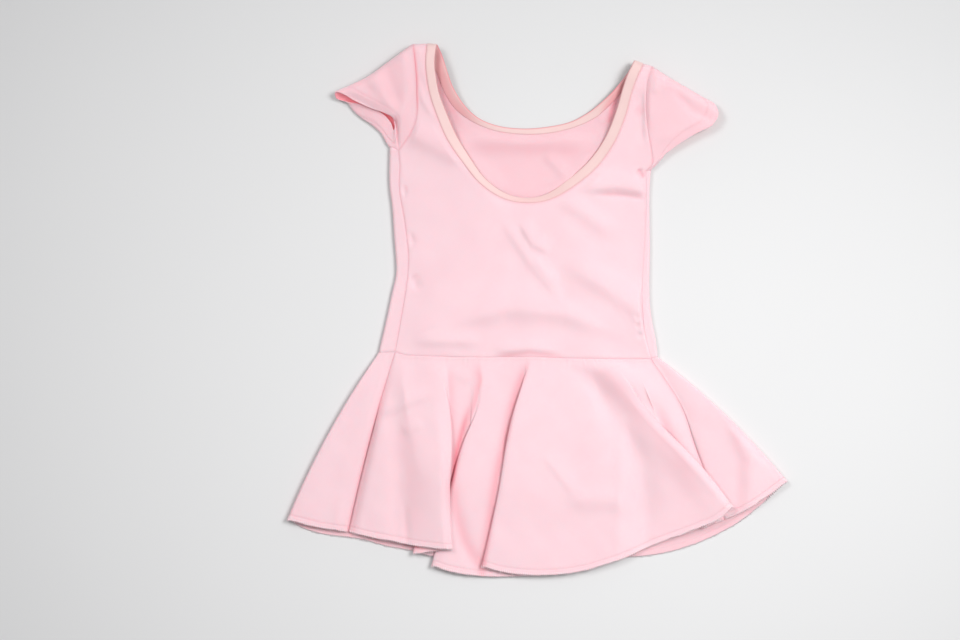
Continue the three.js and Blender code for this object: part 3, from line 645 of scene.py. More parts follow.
# front of the bodice
bodiceFront = dict(
    thick=0.8,
    across=64,
    seamDip=0.3,        # mm lower at a seam
    seamPaintedShade=(0.26, 0.13),     # painted shade at the seams: over the panel, and by the waist
    swell=0.35,
    relief=1.3,         # how much higher the creases stand than their own numbers
    # each line, the height of its ridge, then its width on the left and on the right going down, all mm
    creases=[
        ([(-13.3, 74.5), (-4.3, 60.1), (6.5, 54.7)], 1.7, 3, 9),
        ([(-1.6, 44.8), (13.7, 25.9)], 1.1, 3, 7),
        ([(-25.9, 72.7), (-7, 43.9), (13.7, 18.7)], 1.3, 4, 6),
        ([(38, 35.8), (65, 19.6), (90.2, 1.6), (98.3, -17.3)], 3.6, 10, 15),
        ([(20, 16.9), (47, -2.9), (74, -23.6)], -0.9, 10, 9),
        ([(20, 101.5), (43.4, 87.1), (61.4, 73.6)], 1.9, 8, 9),
        ([(47, 110.5), (69.5, 112.7), (92.9, 108.7)], 2.6, 5.5, 11),
        ([(-110.9, 231.1), (-108.7, 207.7), (-109.1, 184.3)], -1.4, 2, 3),
        ([(-95.2, 225.7), (-97, 198.7)], 0.6, 4, 4),
        ([(57.8, 103.7), (75.8, 102.8), (92.9, 101)], -1.0, 1.6, 4),
        ([(90.2, 125.8), (94.7, 120.4)], -2.0, 3, 3),
        ([(96.5, 122.2), (96.5, 114.1)], 1.1, 3, 3),
        ([(-62.8, -6.5), (-29.5, 2.5), (24.5, -1.1), (63.2, -15.5)], 2.8, 9, 19),
        ([(-102.4, -26.3), (-61, -27.2)], 1.7, 5, 10),
        ([(-30.4, -36.2), (-8.8, -33.5), (12.8, -36.2)], 1.4, 3, 8),
        ([(-118.6, 161.8), (-71.8, 137.5)], 2.2, 8, 11),
        ([(-123.1, 108.7), (-118.6, 106.9)], -1.3, 4, 4),
        ([(-115.9, 67.3), (-112.3, 61)], -1.4, 4, 4),
        ([(-112.3, 29.5), (-108.7, 20.5)], -1.2, 4, 5),
        ([(92, 191.5), (92.9, 157.3)], -1.3, 8, 3),
        ([(-102.4, 207.7), (-88, 189.7)], -1.1, 5, 5),
        ([(-109.6, 200.5), (-95.2, 178)], 0.9, 3, 5),
        ([(88.4, -6.5), (96.5, -5.6)], -0.9, 2.4, 2.4),
        ([(88.4, -13.7), (97.4, -13.7)], -0.9, 2.4, 2.4),
        ([(89.3, -21.8), (99.2, -22.7)], -0.9, 2.6, 2.6),
        ([(-36.7, 91.6), (-68.2, 43.9), (-100.6, -6.5)], 1.3, 14, 16),
        ([(16.4, 88.9), (47, 43.9)], 0.9, 12, 12),
    ],
    # painted shade: lines where the colour goes to a deeper rose, with its amount and its widths on the left
    # and right
    blush=[
        ([(-30.4, -40.3), (-8.8, -37.6), (14.6, -40.3)], 0.22, 2, 2.5),
        ([(59.6, 103.7), (75.8, 103.3), (92.9, 101.5)], 0.16, 1.5, 4),
        ([(90.2, 125.8), (94.7, 120.4)], 0.25, 2.5, 2.5),
        ([(-110.9, 231.1), (-108.7, 207.7), (-109.1, 184.3)], 0.35, 1.5, 2),
        ([(88.4, 181.6), (93.8, 177.1)], 0.16, 4, 5),
        ([(-62.8, 139.3), (-89.8, 150.1), (-113.2, 155)], 0.05, 8, 8),
    ],
)
frontPatches = panelPatches(neckFront, frontEdges, np.inf, bodiceFront["across"])
frontPiece = weld([{known: grid[::-1] for known, grid in patch.items()} for patch in frontPatches.values()])
relax(frontPiece, 60)
x, y = frontPiece["points"][:, :2].T
fade = smooth(frontPiece["neck"] / 9) * smooth(frontPiece["outer"] / 6)     # creases end at the seams
frontPiece["points"][:, 2] += fade * (bodiceFront["relief"] * creaseField(x, y, bodiceFront["creases"])
                                      + bodiceFront["swell"] * swell(x, y, 55, 3))
dip = seamDips(frontPiece)
frontPiece["over"] = bodiceFront["thick"] / 2 - bodiceFront["seamDip"] * dip
# painted shade at the seams, less by the waist, and along the listed lines
blush = mix(*bodiceFront["seamPaintedShade"], smooth((-20 - y) / 15)) * dip
frontPiece["shade"] = np.clip(blush + creaseField(x, y, bodiceFront["blush"]), 0, 1)

# back of the bodice, with the strips that turn up at the sides
bodiceBack = dict(
    thick=0.8,
    across=64,
    settles=30,         # mm from the neck's edge to where the back lies flat
    seamDip=0.3,
    seamPaintedShade=0.16,
    creases=[
        ([(-61, 152.8), (-34, 155.5), (6.5, 155.5), (39.8, 152.8)], 3.0, 11, 6),
        ([(8.3, 137.5), (24.5, 121.3)], 1.5, 3, 8),
        ([(56, 171.7), (66.8, 182.5)], 1.2, 5, 5),
        ([(76.1, 181.6), (67.1, 161.8), (53.6, 142), (35.6, 125.8), (11.3, 110.5)], 3.6, 7, 8),
        ([(-70.4, 148.3), (-56, 128.5), (-38, 112.3)], 2.6, 8, 8),
    ],
    # painted shade on the wrong side, under the straps and along the scoop
    blush=[
        ([(70.4, 193.3), (66.8, 178.9), (64.1, 169.9)], 0.45, 3, 3),
        ([(-90.7, 227.5), (-85.3, 196.9), (-73.6, 173.5)], 0.22, 3, 4),
        ([(-55.6, 147.4), (-16, 145.6), (33.5, 144.7)], 0.1, 6, 5),
    ],
)
backPatches = panelPatches(neckBack, backEdges, bodiceBack["settles"], bodiceBack["across"])
stripLeft, stripRight = sidePatch("sideLeft", -1), sidePatch("sideRight", 1)
backPiece = weld([*backPatches.values(), stripLeft, stripRight])
x, y = backPiece["points"][:, :2].T
fade = smooth(backPiece["neck"] / 9) * smooth(backPiece["outer"] / 20)
backPiece["points"][:, 2] += np.maximum(0, fade * creaseField(x, y, bodiceBack["creases"]))
dip = seamDips(backPiece)
backPiece["over"] = bodiceBack["thick"] / 2 - bodiceBack["seamDip"] * dip
# painted shade at the seams, over all the wrong side, and more along the listed lines
backPiece["shade"] = bodiceBack["seamPaintedShade"] * dip
backPiece["wrongSide"] = np.clip(0.05 + creaseField(x, y, bodiceBack["blush"]), 0, 1)

# elastic round the neck, one ring from the left shoulder back to it
neckBinding = dict(
    thick=1.5,
    across=12,
    # painted shade on the back of the elastic inside the straps
    blush=[
        ([(-89.8, 234.7), (-88, 214.9), (-79.9, 189.7), (-62.8, 171.7)], 0.42, 7, 7),
        ([(78.5, 204.1), (68.6, 191.5), (61.4, 178.9)], 0.5, 5, 5),
    ],
)


def bindingPatch():
    sewnFront, sewnBack = Curve(neckFront[:, :3]), Curve(neckBack[:, :3])
    around = np.vstack([neckFront[:, 3:], neckBack[-2:0:-1, 3:]])
    free = Curve(around, closed=True)
    placesOf = lambda edges: np.concatenate([[0.0]] + [
        mix(a, b, np.arange(1, parts[name] * finer + 1) / (parts[name] * finer))
        for name, ((a, b), _) in edges.items()])
    onFront, onBack = placesOf(frontEdges), placesOf(backEdges)[::-1][1:-1]
    sewn = np.vstack([sewnFront.at(onFront), sewnBack.at(onBack)])
    loose = np.vstack([free.at(onFront), free.at(sewnFront.spans + sewnBack.spans - onBack)])
    sewn, loose = np.vstack([sewn, sewn[:1]]), np.vstack([loose, loose[:1]])
    t = np.linspace(0, 1, neckBinding["across"] + 1)
    p = mix(sewn[:, None], loose[:, None], t[None, :, None])
    run = lengthsAlong((sewn + loose) / 2)[:, None] + 0 * t
    wide = np.linalg.norm(loose - sewn, axis=1)[:, None] * t
    return dict(points=p, flat=np.stack([wide, run], -1), neck=wide, outer=wide[:, -1:] - wide)


neckPatch = bindingPatch()
bindingPiece = weld([neckPatch])
roundness = np.sqrt(np.clip(1 - np.clip(1 - bindingPiece["outer"], 0, 1) ** 2, 0.04, 1))
seamSide = 1 - 0.35 * nearTo(bindingPiece["neck"], 0.7)
bindingPiece["over"] = bindingPiece["under"] = neckBinding["thick"] / 2 * roundness * seamSide
x, y, z = bindingPiece["points"].T
onBack = smooth((11 - z) / 2) * smooth((x + 93) / 3)
# painted shade: a deeper rose at the free and sewn edges, and on the back of the elastic inside the straps
freeEdge = lambda wide: smooth((wide - bindingPiece["outer"]) / wide)
sewnEdge = 0.2 * smooth((0.8 - bindingPiece["neck"]) / 0.8)
wrongSide = 0.5 * freeEdge(1.1) + sewnEdge + onBack * creaseField(x, y, neckBinding["blush"])
bindingPiece["wrongSide"] = np.clip(wrongSide, 0, 1)
bindingPiece["shade"] = np.clip(0.35 * freeEdge(0.5) + sewnEdge, 0, 1)

# sleeves: each rail starts at a counted point of the armhole, round from the front, and goes
# through three places to the cuff
sleeveLeft = dict(
    thick=0.8,
    overallShade=0.05,      # painted shade over the whole sleeve, a little deeper than the bodice
    upper=12.4,     # points of the armhole up to which a rail is on the upper side
    creases=[
        ([(-121.3, 232.9), (-116.8, 200.5), (-122.2, 171.7)], 1.5, 6, 4),
        ([(-149.2, 207.7), (-130.3, 182.5)], 2.0, 5, 8),
        ([(-136.6, 222.1), (-126.7, 186.1)], -1.6, 6, 6),
        ([(-171.7, 193.3), (-156.4, 186.1), (-143.8, 178.9)], -0.8, 3, 3),
        ([(-127.6, 170.8), (-126.2, 147.4)], -2.2, 1.8, 1.8),
        ([(-163.6, 196.9), (-142, 187)], 0.8, 4, 6),
    ],
    # painted shade along lines, as for the creases
    blush=[
        ([(-127.6, 170.8), (-126.2, 147.4)], 0.4, 1.6, 1.6),
        ([(-136.6, 220.3), (-127.6, 186.1)], 0.06, 7, 7),
    ],
    rails=points([
        [0.0, -130.0, 226.0, 9.0, -153.0, 209.5, 8.8, -181.8, 196.0, 9.0],
        [3.0, -133.0, 219.0, 14.5, -155.0, 204.0, 12.6, -175.0, 194.4, 11.6],
        [6.0, -128.0, 203.5, 15.6, -146.0, 196.5, 13.4, -164.0, 188.0, 11.2],
        [8.0, -122.0, 187.0, 13.0, -137.0, 186.0, 12.6, -150.6, 182.0, 10.8],
        [9.6, -119.0, 173.5, 11.2, -128.0, 176.0, 11.4, -137.0, 177.2, 10.2],
        [11.0, -122.0, 160.0, 8.4, -126.0, 167.0, 9.0, -130.4, 174.0, 8.8],
        [12.0, -126.8, 151.0, 5.6, -127.6, 158.0, 6.8, -128.0, 166.5, 8.0],
        [14.5, -129.8, 150.0, 4.6, -130.2, 155.5, 5.0, -129.4, 162.0, 6.0],
        [17.0, -136.4, 152.6, 3.0, -137.2, 160.4, 3.8, -132.4, 169.2, 5.2],
        [21.0, -138.0, 158.6, 0.5, -146.6, 167.0, 3.6, -141.6, 178.6, 7.0],
        [22.7, -135.0, 178.0, 0.5, -161.4, 176.0, 2.4, -158.0, 185.2, 6.0],
        [25.1, -132.0, 202.0, 0.6, -168.6, 187.0, 1.8, -172.4, 187.8, 4.4],
        [28.6, -132.0, 219.0, 2.8, -156.0, 203.6, 2.8, -181.0, 190.8, 4.6],
    ]),
)
sleeveRight = dict(
    thick=0.8,
    overallShade=0.05,
    upper=12.0,
    creases=[
        ([(124.4, 195.1), (138.8, 179.8), (151.4, 174.4)], -2.2, 4, 7),
        ([(107.3, 209.5), (103.7, 196.9)], 1.4, 3, 4),
        ([(128.9, 158.2), (145.1, 166.3), (155.9, 172.6)], -0.7, 2.5, 2.5),
        ([(117.2, 200.5), (137, 189.7)], 0.9, 4, 5),
        ([(103.7, 216.7), (99.2, 196.9), (99.2, 171.7)], 1.2, 3, 8),
        ([(113.6, 153.7), (131.6, 160.9), (146, 168.1)], 1.0, 5, 6),
        ([(146, 198.7), (156.8, 186.1)], 0.7, 4, 4),
    ],
    # painted shade along lines, as for the creases
    blush=[
        ([(97.4, 196.9), (99.2, 153.7)], 0.14, 2, 2),
        ([(124.4, 193.3), (138.8, 179.8), (151.4, 174.4)], 0.05, 5, 5),
    ],
    rails=points([
        [0.0, 103.4, 129.4, 4.8, 107.4, 134.0, 5.0, 112.0, 139.4, 5.0],
        [2.0, 107.0, 137.0, 6.2, 113.6, 141.6, 6.6, 120.2, 145.4, 6.5],
        [4.0, 108.0, 163.0, 10.2, 124.0, 162.0, 10.6, 141.0, 158.6, 8.8],
        [6.0, 113.0, 184.0, 13.0, 134.0, 176.0, 12.6, 157.0, 167.2, 9.6],
        [8.0, 119.0, 203.0, 13.6, 140.0, 190.0, 12.6, 161.8, 177.0, 9.4],
        [12.0, 115.4, 210.4, 8.0, 137.0, 197.8, 7.2, 158.4, 185.6, 6.4],
        [16.0, 118.0, 203.0, 2.4, 139.0, 191.0, 2.0, 160.0, 178.6, 2.6],
        [18.0, 113.0, 183.0, 0.6, 134.0, 176.0, 0.6, 154.4, 168.8, 1.2],
        [20.0, 108.0, 162.0, 0.5, 123.0, 160.0, 0.5, 138.0, 157.6, 0.8],
        [22.0, 106.4, 141.6, 0.5, 113.4, 145.4, 0.5, 121.0, 148.4, 0.8],
        [27.0, 104.2, 129.2, 2.6, 107.6, 132.8, 2.6, 110.8, 136.4, 2.8],
    ]),
)
sleeveLooks = (sleeveLeft, sleeveRight)
cuff = dict(
    turned=11.0,        # mm
    extra=0.35,         # mm thicker there
    steps=44,
    inside=0.45,        # how much painted shade, a deeper rose, the inside has
)


def sleevePatch(ring, sleeve):
    rails = sleeve["rails"]
    last = len(ring) - 1
    lines = [Curve(rails[:, 1 + 3 * n:4 + 3 * n], closed=True) for n in range(3)]
    starts = np.append(rails[:, 0], last / finer) * finer
    i = np.arange(last + 1)
    k = np.clip(np.searchsorted(starts, i, side="right") - 1, 0, len(rails) - 1)
    row = (k + (i - starts[k]) / (starts[k + 1] - starts[k])) % len(rails)
    rows = np.stack([ring] + [line.at(row) for line in lines])      # four places down each column
    w = closerAtEnds(cuff["steps"], 0.5)
    p = np.stack([Curve(rows[:, c]).at(w * 3) for c in range(last + 1)], 1)
    p[..., 2] = np.maximum(0.5, p[..., 2])
    run = lengthsAlong(p)
    roundArm = lengthsAlong(p[len(w) // 2])[None, :] + 0 * run
    x, y = p[..., 0], p[..., 1]
    onTop = smooth((sleeve["upper"] * finer - i) / (1.2 * finer)) * smooth(i / (1.2 * finer)) * smooth(run / 4)
    p[..., 2] += onTop * creaseField(x, y, sleeve["creases"])
    return dict(points=p, flat=np.stack([roundArm, -run], -1), outer=run, hem=run[-1:] - run,
                blush=onTop * creaseField(x, y, sleeve["blush"]))


edgeOf = lambda patch: patch["points"][:, -1]
ringLeft = np.vstack([edgeOf(frontPatches["armholeLeft"]), stripLeft["points"][0][::-1][1:],
                      edgeOf(backPatches["armholeLeft"])[::-1][1:]])
ringRight = np.vstack([edgeOf(frontPatches["armholeRight"]), edgeOf(backPatches["armholeRight"])[::-1][1:],
                       stripRight["points"][-1][1:]])
sleevePatches = [sleevePatch(ring, look) for ring, look in zip((ringLeft, ringRight), sleeveLooks)]
sleevePieces = []
for patch, look in zip(sleevePatches, sleeveLooks):
    piece = weld([patch])
    dip = nearTo(piece["outer"], seamWide)
    turned = smooth((cuff["turned"] - piece["hem"]) / 0.8)
    stitch = nearTo(piece["hem"] - cuff["turned"], 0.9)
    piece["over"] = look["thick"] / 2 - 0.3 * dip - 0.25 * stitch + 0.1 * turned
    piece["under"] = look["thick"] / 2 + cuff["extra"] * turned
    # painted shade: all the wrong side, and on the outside over the whole sleeve, at the seam, by the cuff's
    # stitching and along the listed lines
    piece["wrongSide"] = cuff["inside"]
    piece["shade"] = np.clip(look["overallShade"] + 0.16 * dip + 0.08 * stitch + piece["blush"], 0, 1)
    sleevePieces.append(piece)

# skirt: ribs from waist to hem; where turn is 1 the cloth folds back to the left, -1 to the right. z is its
# height before the turn and zAfter behind it. Of the rib's length, start is where the fold begins, rise where
# it has its full height and bentAt where it bows sideways by bend, in mm
skirtFront = dict(
    thick=0.8,
    ribs=table("waistX hemX hemY z turn zAfter start rise bend bentAt", [
        [-128.3, -170.8, -198.7, 4.8, 0, 0, 0.23, 0.2, 0, 0.3],
        [-117.5, -139.3, -205.2, 7.6, 0, 0, 0.23, 0.2, 0, 0.3],
        [-107, -107.8, -210.8, 10.4, 0, 0, 0.23, 0.6, 0, 0.3],
        [-98, -89, -212.9, 12, 0, 0, 0.23, 0.8, 4, 0.37],
        [-89, -77, -213.7, 12, 1, 8.6, 0.23, 0.8, 7, 0.37],
        [-81.5, -95, -216, 7.6, 0, 0, 0.23, 0.8, 3.5, 0.37],
        [-75, -111.8, -218, 6.2, -1, 3.0, 0.23, 0.8, 0, 0.3],
        [-66, -88, -221.6, 1.9, 0, 0, 0.2, 0.7, 0, 0.3],
        [-58.5, -63, -226, 1.8, 1, 3.2, 0.3, 0.6, 0, 0.3],
        [-54.6, -79.4, -228, 3.2, 0, 0, 0.3, 0.6, 3.5, 0.23],
        [-51, -95.2, -229.3, 3.5, -1, 5.6, 0.3, 0.6, 7.5, 0.23],
        [-43, -77, -234.5, 6.2, 0, 0, 0.1, 0.6, 5, 0.23],
        [-33, -52, -238.3, 4.4, 0, 0, 0.08, 0.5, 2, 0.23],
        [-22, -25, -238.9, 3, 0, 0, 0.06, 0.4, 0, 0.3],
        [-11.6, 2, -237.8, 2.4, 1, 4.4, 0.08, 0.36, -3.5, 0.33],
        [-8.8, -25, -234.6, 5.4, 0, 0, 0.08, 0.36, -4, 0.33],
        [-6, -50.2, -229.7, 5.9, -1, 8.0, 0.08, 0.36, -4.5, 0.33],
        [3, -34, -233.8, 8.2, 0, 0, 0.05, 0.4, -4, 0.33],
        [15.5, -7, -237.2, 7.2, 0, 0, 0.15, 0.3, -2.5, 0.33],
        [29, 32.2, -235.1, 6.2, 0, 0, 0.23, 0.2, -1, 0.33],
        [38.5, 72.4, -223.7, 6.4, 0, 0, 0.23, 0.2, 0, 0.3],
        [46, 110, -207.9, 5, 0, 0, 0.23, 0.2, -2, 0.37],
        [54, 147.7, -193.5, 8.2, 0, 0, 0.23, 0.5, -5, 0.37],
        [60, 163.6, -185.6, 10.6, 0, 0, 0.23, 0.7, -8, 0.37],
        [66, 175, -176.4, 10.6, 1, 7.6, 0.47, 0.75, -9, 0.37],
        [75.5, 161, -186.6, 6.9, 0, 0, 0.47, 0.75, -4.5, 0.37],
        [85.5, 147.8, -194.6, 6, -1, 3, 0.47, 0.75, 0, 0.37],
        [101.9, 167.6, -187.9, 3.2, 0, 0, 0.23, 0.6, 6, 0.3],
    ]),
    swell=0.35,
    creases=[
        ([(-132.1, -46.1), (-151, -119.9), (-169, -197.3)], -1.1, 3, 3),
        ([(-147.4, -102.8), (-168.1, -195.5)], -2.4, 6, 4.5),
        ([(-212.2, -170.3), (-197.8, -181.1)], 0.7, 3, 4),
        ([(-88, -66.8), (-84.4, -125.3), (-84.4, -206.3)], 2.5, 14, 9),
        ([(-127.6, -84.8), (-122.2, -143.3), (-124, -206.3)], -3.0, 11, 13),
        ([(-134.8, -90.2), (-102.4, -75.8)], 1.6, 4, 7),
        ([(-119.5, -107.3), (-106, -101.9)], 0.9, 4, 6),
        ([(-119.5, -177.5), (-117.7, -210.8)], -1.0, 2.5, 3.5),
        ([(-78.1, -150.5), (-74.5, -180.2), (-66.4, -206.3), (-53.8, -228.8)], -1.5, 6, 8),
        ([(52.4, -44.3), (101, -83.9), (146, -132.5), (180.2, -168.5)], 4.6, 14, 17),
        ([(43.4, -58.7), (75.8, -96.5), (93.8, -143.3), (97.4, -201.8)], -3.0, 11, 11),
        ([(74.9, -112.7), (72.2, -206.3)], 1.0, 6, 5),
        ([(9.2, -133.4), (29, -158.6)], 1.2, 4, 9),
        ([(34.4, -168.5), (75.8, -170.3)], 2.0, 9, 10),
        ([(-34, -116.3), (-46.6, -174.8)], 0.8, 8, 8),
        ([(-74.5, -55.1), (-62.8, -62.3)], 0.8, 5, 5),
    ],
    # the same kind of lines for the painted shade where folds light each other
    blush=[
        ([(-8.3, -45.2), (-16, -67.7), (-21.8, -83.9), (-28.1, -113.6), (-36.2, -146.9), (-47.9, -226.1)],
         0.42, 5.0, 2.0),
        ([(-53.8, -45.2), (-51.5, -62.3), (-56.5, -83), (-67.3, -113.6), (-74, -143.3)], 0.3, 4.5, 1.8),
        ([(-64.6, -96.5), (-72.2, -125.3), (-75.8, -150.5)], 0.4, 3.0, 1.5),
        ([(-79.9, -60.5), (-77.2, -109.1), (-76.3, -150.5)], 0.22, 1.0, 5.0),
        ([(-138.4, -75.8), (-152.8, -125.3), (-169, -197.3)], 0.22, 5.0, 3.5),
        ([(-77.2, -160.4), (-72.7, -184.7), (-64.6, -208.1), (-53.8, -226.1)], 0.26, 5.0, 6.0),
        ([(-119.5, -113.6), (-113.2, -155), (-113.2, -200.9)], 0.08, 14, 12),
        ([(54.2, -50.6), (90.2, -86.6), (121.7, -122.6), (137.9, -155)], 0.1, 12, 8),
    ],
)
skirtBack = dict(
    thick=0.8,
    topRight=dict(waist=(103.6, -42.4), hem=(189.5, -177.4), z=4.6),
    topLeft=dict(waist=(-134.4, -37.5), hem=(-196.0, -194.8), z=5.8),
    foldRight=dict(waist=(107.3, -41.6), hem=(223.7, -153.4), out=(0.8, 0.6), top=5.6),
    foldLeft=dict(waist=(-142.6, -37.8), hem=(-224.9, -188.2), out=(-1, 0), top=6.6),
    under=table("waistX waistY hemX hemY", [
        [96.0, -41.5, 200.0, -175.0],
        [84.0, -41.3, 180.0, -190.4],
        [70.0, -41.1, 152.0, -205.2],
        [54.0, -40.8, 120.3, -216.2],
        [36.0, -40.5, 88.0, -221.0],
        [10.0, -40.2, 40.0, -221.2],
        [-20.0, -39.8, -20.0, -220.8],
        [-50.0, -39.5, -80.0, -218.6],
        [-82.0, -39.2, -125.0, -213.8],
        [-108.0, -38.9, -163.0, -204.6],
        [-126.0, -38.4, -192.0, -200.8],
        [-135.0, -38.1, -212.0, -195.0],
    ]),
    swell=0.3,
    creases=[
        ([(-132.1, -46.1), (-151, -119.9), (-169, -197.3)], -1.2, 3.5, 3.5),
        ([(171.2, -89.3), (191, -134.3), (190.1, -176.6)], 2.4, 7, 13),
        ([(119.9, -62.3), (148.7, -98.3)], 0.5, 8, 8),
        ([(-158.2, -84.8), (-186.1, -149.6)], -0.9, 9, 7),
        ([(-176.2, -164.9), (-181.6, -191.9)], 0.8, 5, 6),
    ],
    # painted shade along lines, as on the front
    blush=[
        ([(-138.4, -75.8), (-152.8, -125.3), (-169, -197.3)], 0.22, 3.5, 1.5),
        ([(171.2, -93.8), (183.8, -134.3), (182, -174.8)], 0.06, 5, 6),
    ],
)
skirtHang = dict(
    overBrief=2.4,      # mm that the front stands higher over the brief
    bow=5.0,            # mm that the sides bulge between waist and hem
    lying=0.5,          # height of the middle of a layer that lies on the surface
    hem=5.0,            # mm turned at the hem
    step=2.4,           # mm between columns of corners at the hem
    ragged=0.8,         # mm that the hem's edge wanders
)


def rib(waist, hem, curl=0.0, spread=0.0, start=0.23, rise=0.2, bend=0.0, bentAt=0.3):
    return [*hem, *waist, curl, spread, start, rise, bend, bentAt]


def frontRibs():
    # the table's rows, each turn as a fan of ribs round the fold's edge
    ribs, turns = [], []
    for waistX, hemX, hemY, z, turn, zAfter, start, rise, bend, bentAt in zip(*skirtFront["ribs"].values()):
        if not turn:
            ribs.append(rib(waistAt(waistX), (hemX, hemY, z), 0, 0, start, rise, bend, bentAt))
            continue
        radius = abs(zAfter - z) / 2
        fan = (-2, -1, 0, 1, 2) if radius > 1.5 else (-2, 0, 2)
        turns.append(len(ribs) + len(fan) // 2)
        narrow = 2.6 * start * (1 - 1.6 * start)
        for k in fan:
            angle = k * math.pi / 4
            height = mix(z, zAfter, (1 + math.sin(angle)) / 2)
            ribs.append(rib(waistAt(waistX + narrow * k), (hemX, hemY, height),
                            -turn * radius * (1 - math.cos(angle)), narrow * k, start, rise, bend, bentAt))
    return ribs, turns


def foldRibs(fold):
    # seven ribs round a fold where the skirt's back turns up at a side
    radius = (fold["top"] - skirtHang["lying"]) / 2
    out = math.copysign(1, fold["out"][0])
    made = []
    for k in (3, 2, 1, 0, -1, -2, -3):
        angle = k * math.pi / 6
        inset = 0.6 * (1 - math.cos(angle))
        waist = (fold["waist"][0] - out * sideFold["radius"] * inset, fold["waist"][1],
                 skirtHang["lying"] + sideFold["radius"] * (1 + math.sin(angle)))
        hem = (fold["hem"][0] - fold["out"][0] * radius * inset,
               fold["hem"][1] - fold["out"][1] * radius * inset,
               skirtHang["lying"] + radius * (1 + math.sin(angle)))
        made.append(rib(waist, hem))
    return made


def backRibs(firstSeam, lastSeam):
    # from the right side seam under the whole skirt to the left one, and which ribs turn
    low = skirtHang["lying"]
    onTop = lambda row: rib((*row["waist"], low + 2 * sideFold["radius"]), (*row["hem"], row["z"]))
    under = [rib((a, b, low), (c, d, low)) for a, b, c, d in zip(*skirtBack["under"].values())]
    ribs = [firstSeam, onTop(skirtBack["topRight"]), *foldRibs(skirtBack["foldRight"]), *under,
            *foldRibs(skirtBack["foldLeft"])[::-1], onTop(skirtBack["topLeft"]), lastSeam]
    return ribs, [2, len(ribs) - 3]


def foldMasks(p, v, arc, arcOfTurns):
    # where a fold hides the cloth, and where creases would come too close to a fold's edge
    fromFold = np.abs(arc[:, None] - arcOfTurns[None]).min(1) * (0.25 + 0.75 * v)
    hidden, between = 0.0 * p[..., 0], 0.0 * arc
    column = np.arange(len(arc))
    for first, last in np.searchsorted(arc, arcOfTurns).reshape(-1, 2):
        folded = smooth(np.abs(p[:, first, 0] - p[:, last, 0]) / 5 - 0.2) * (p[:, first, 0] > p[:, last, 0])
        hidden[:, first:last + 1] = folded[:, None]
        between += smooth((column - first) / 6) * smooth((last - column) / 6)
    shown = (1 - hidden) * (1 - between * smooth((v - 0.1) / 0.22)) * smooth(v / 0.08)
    shown = shown * mix(1, smooth(fromFold / 7), smooth((v - 0.15) / 0.25))
    return fromFold, hidden, shown


def ringSector(inner, arc, slant, v):
    # the skirt's cut laid flat: a sector of a ring, from its waist and hem lengths
    angle = (arc[-1] - inner) / slant
    far = inner / angle + v * slant
    turnTo = (arc / arc[-1] - 0.5) * angle
    return np.stack([far * np.sin(turnTo), -far * np.cos(turnTo)], -1)


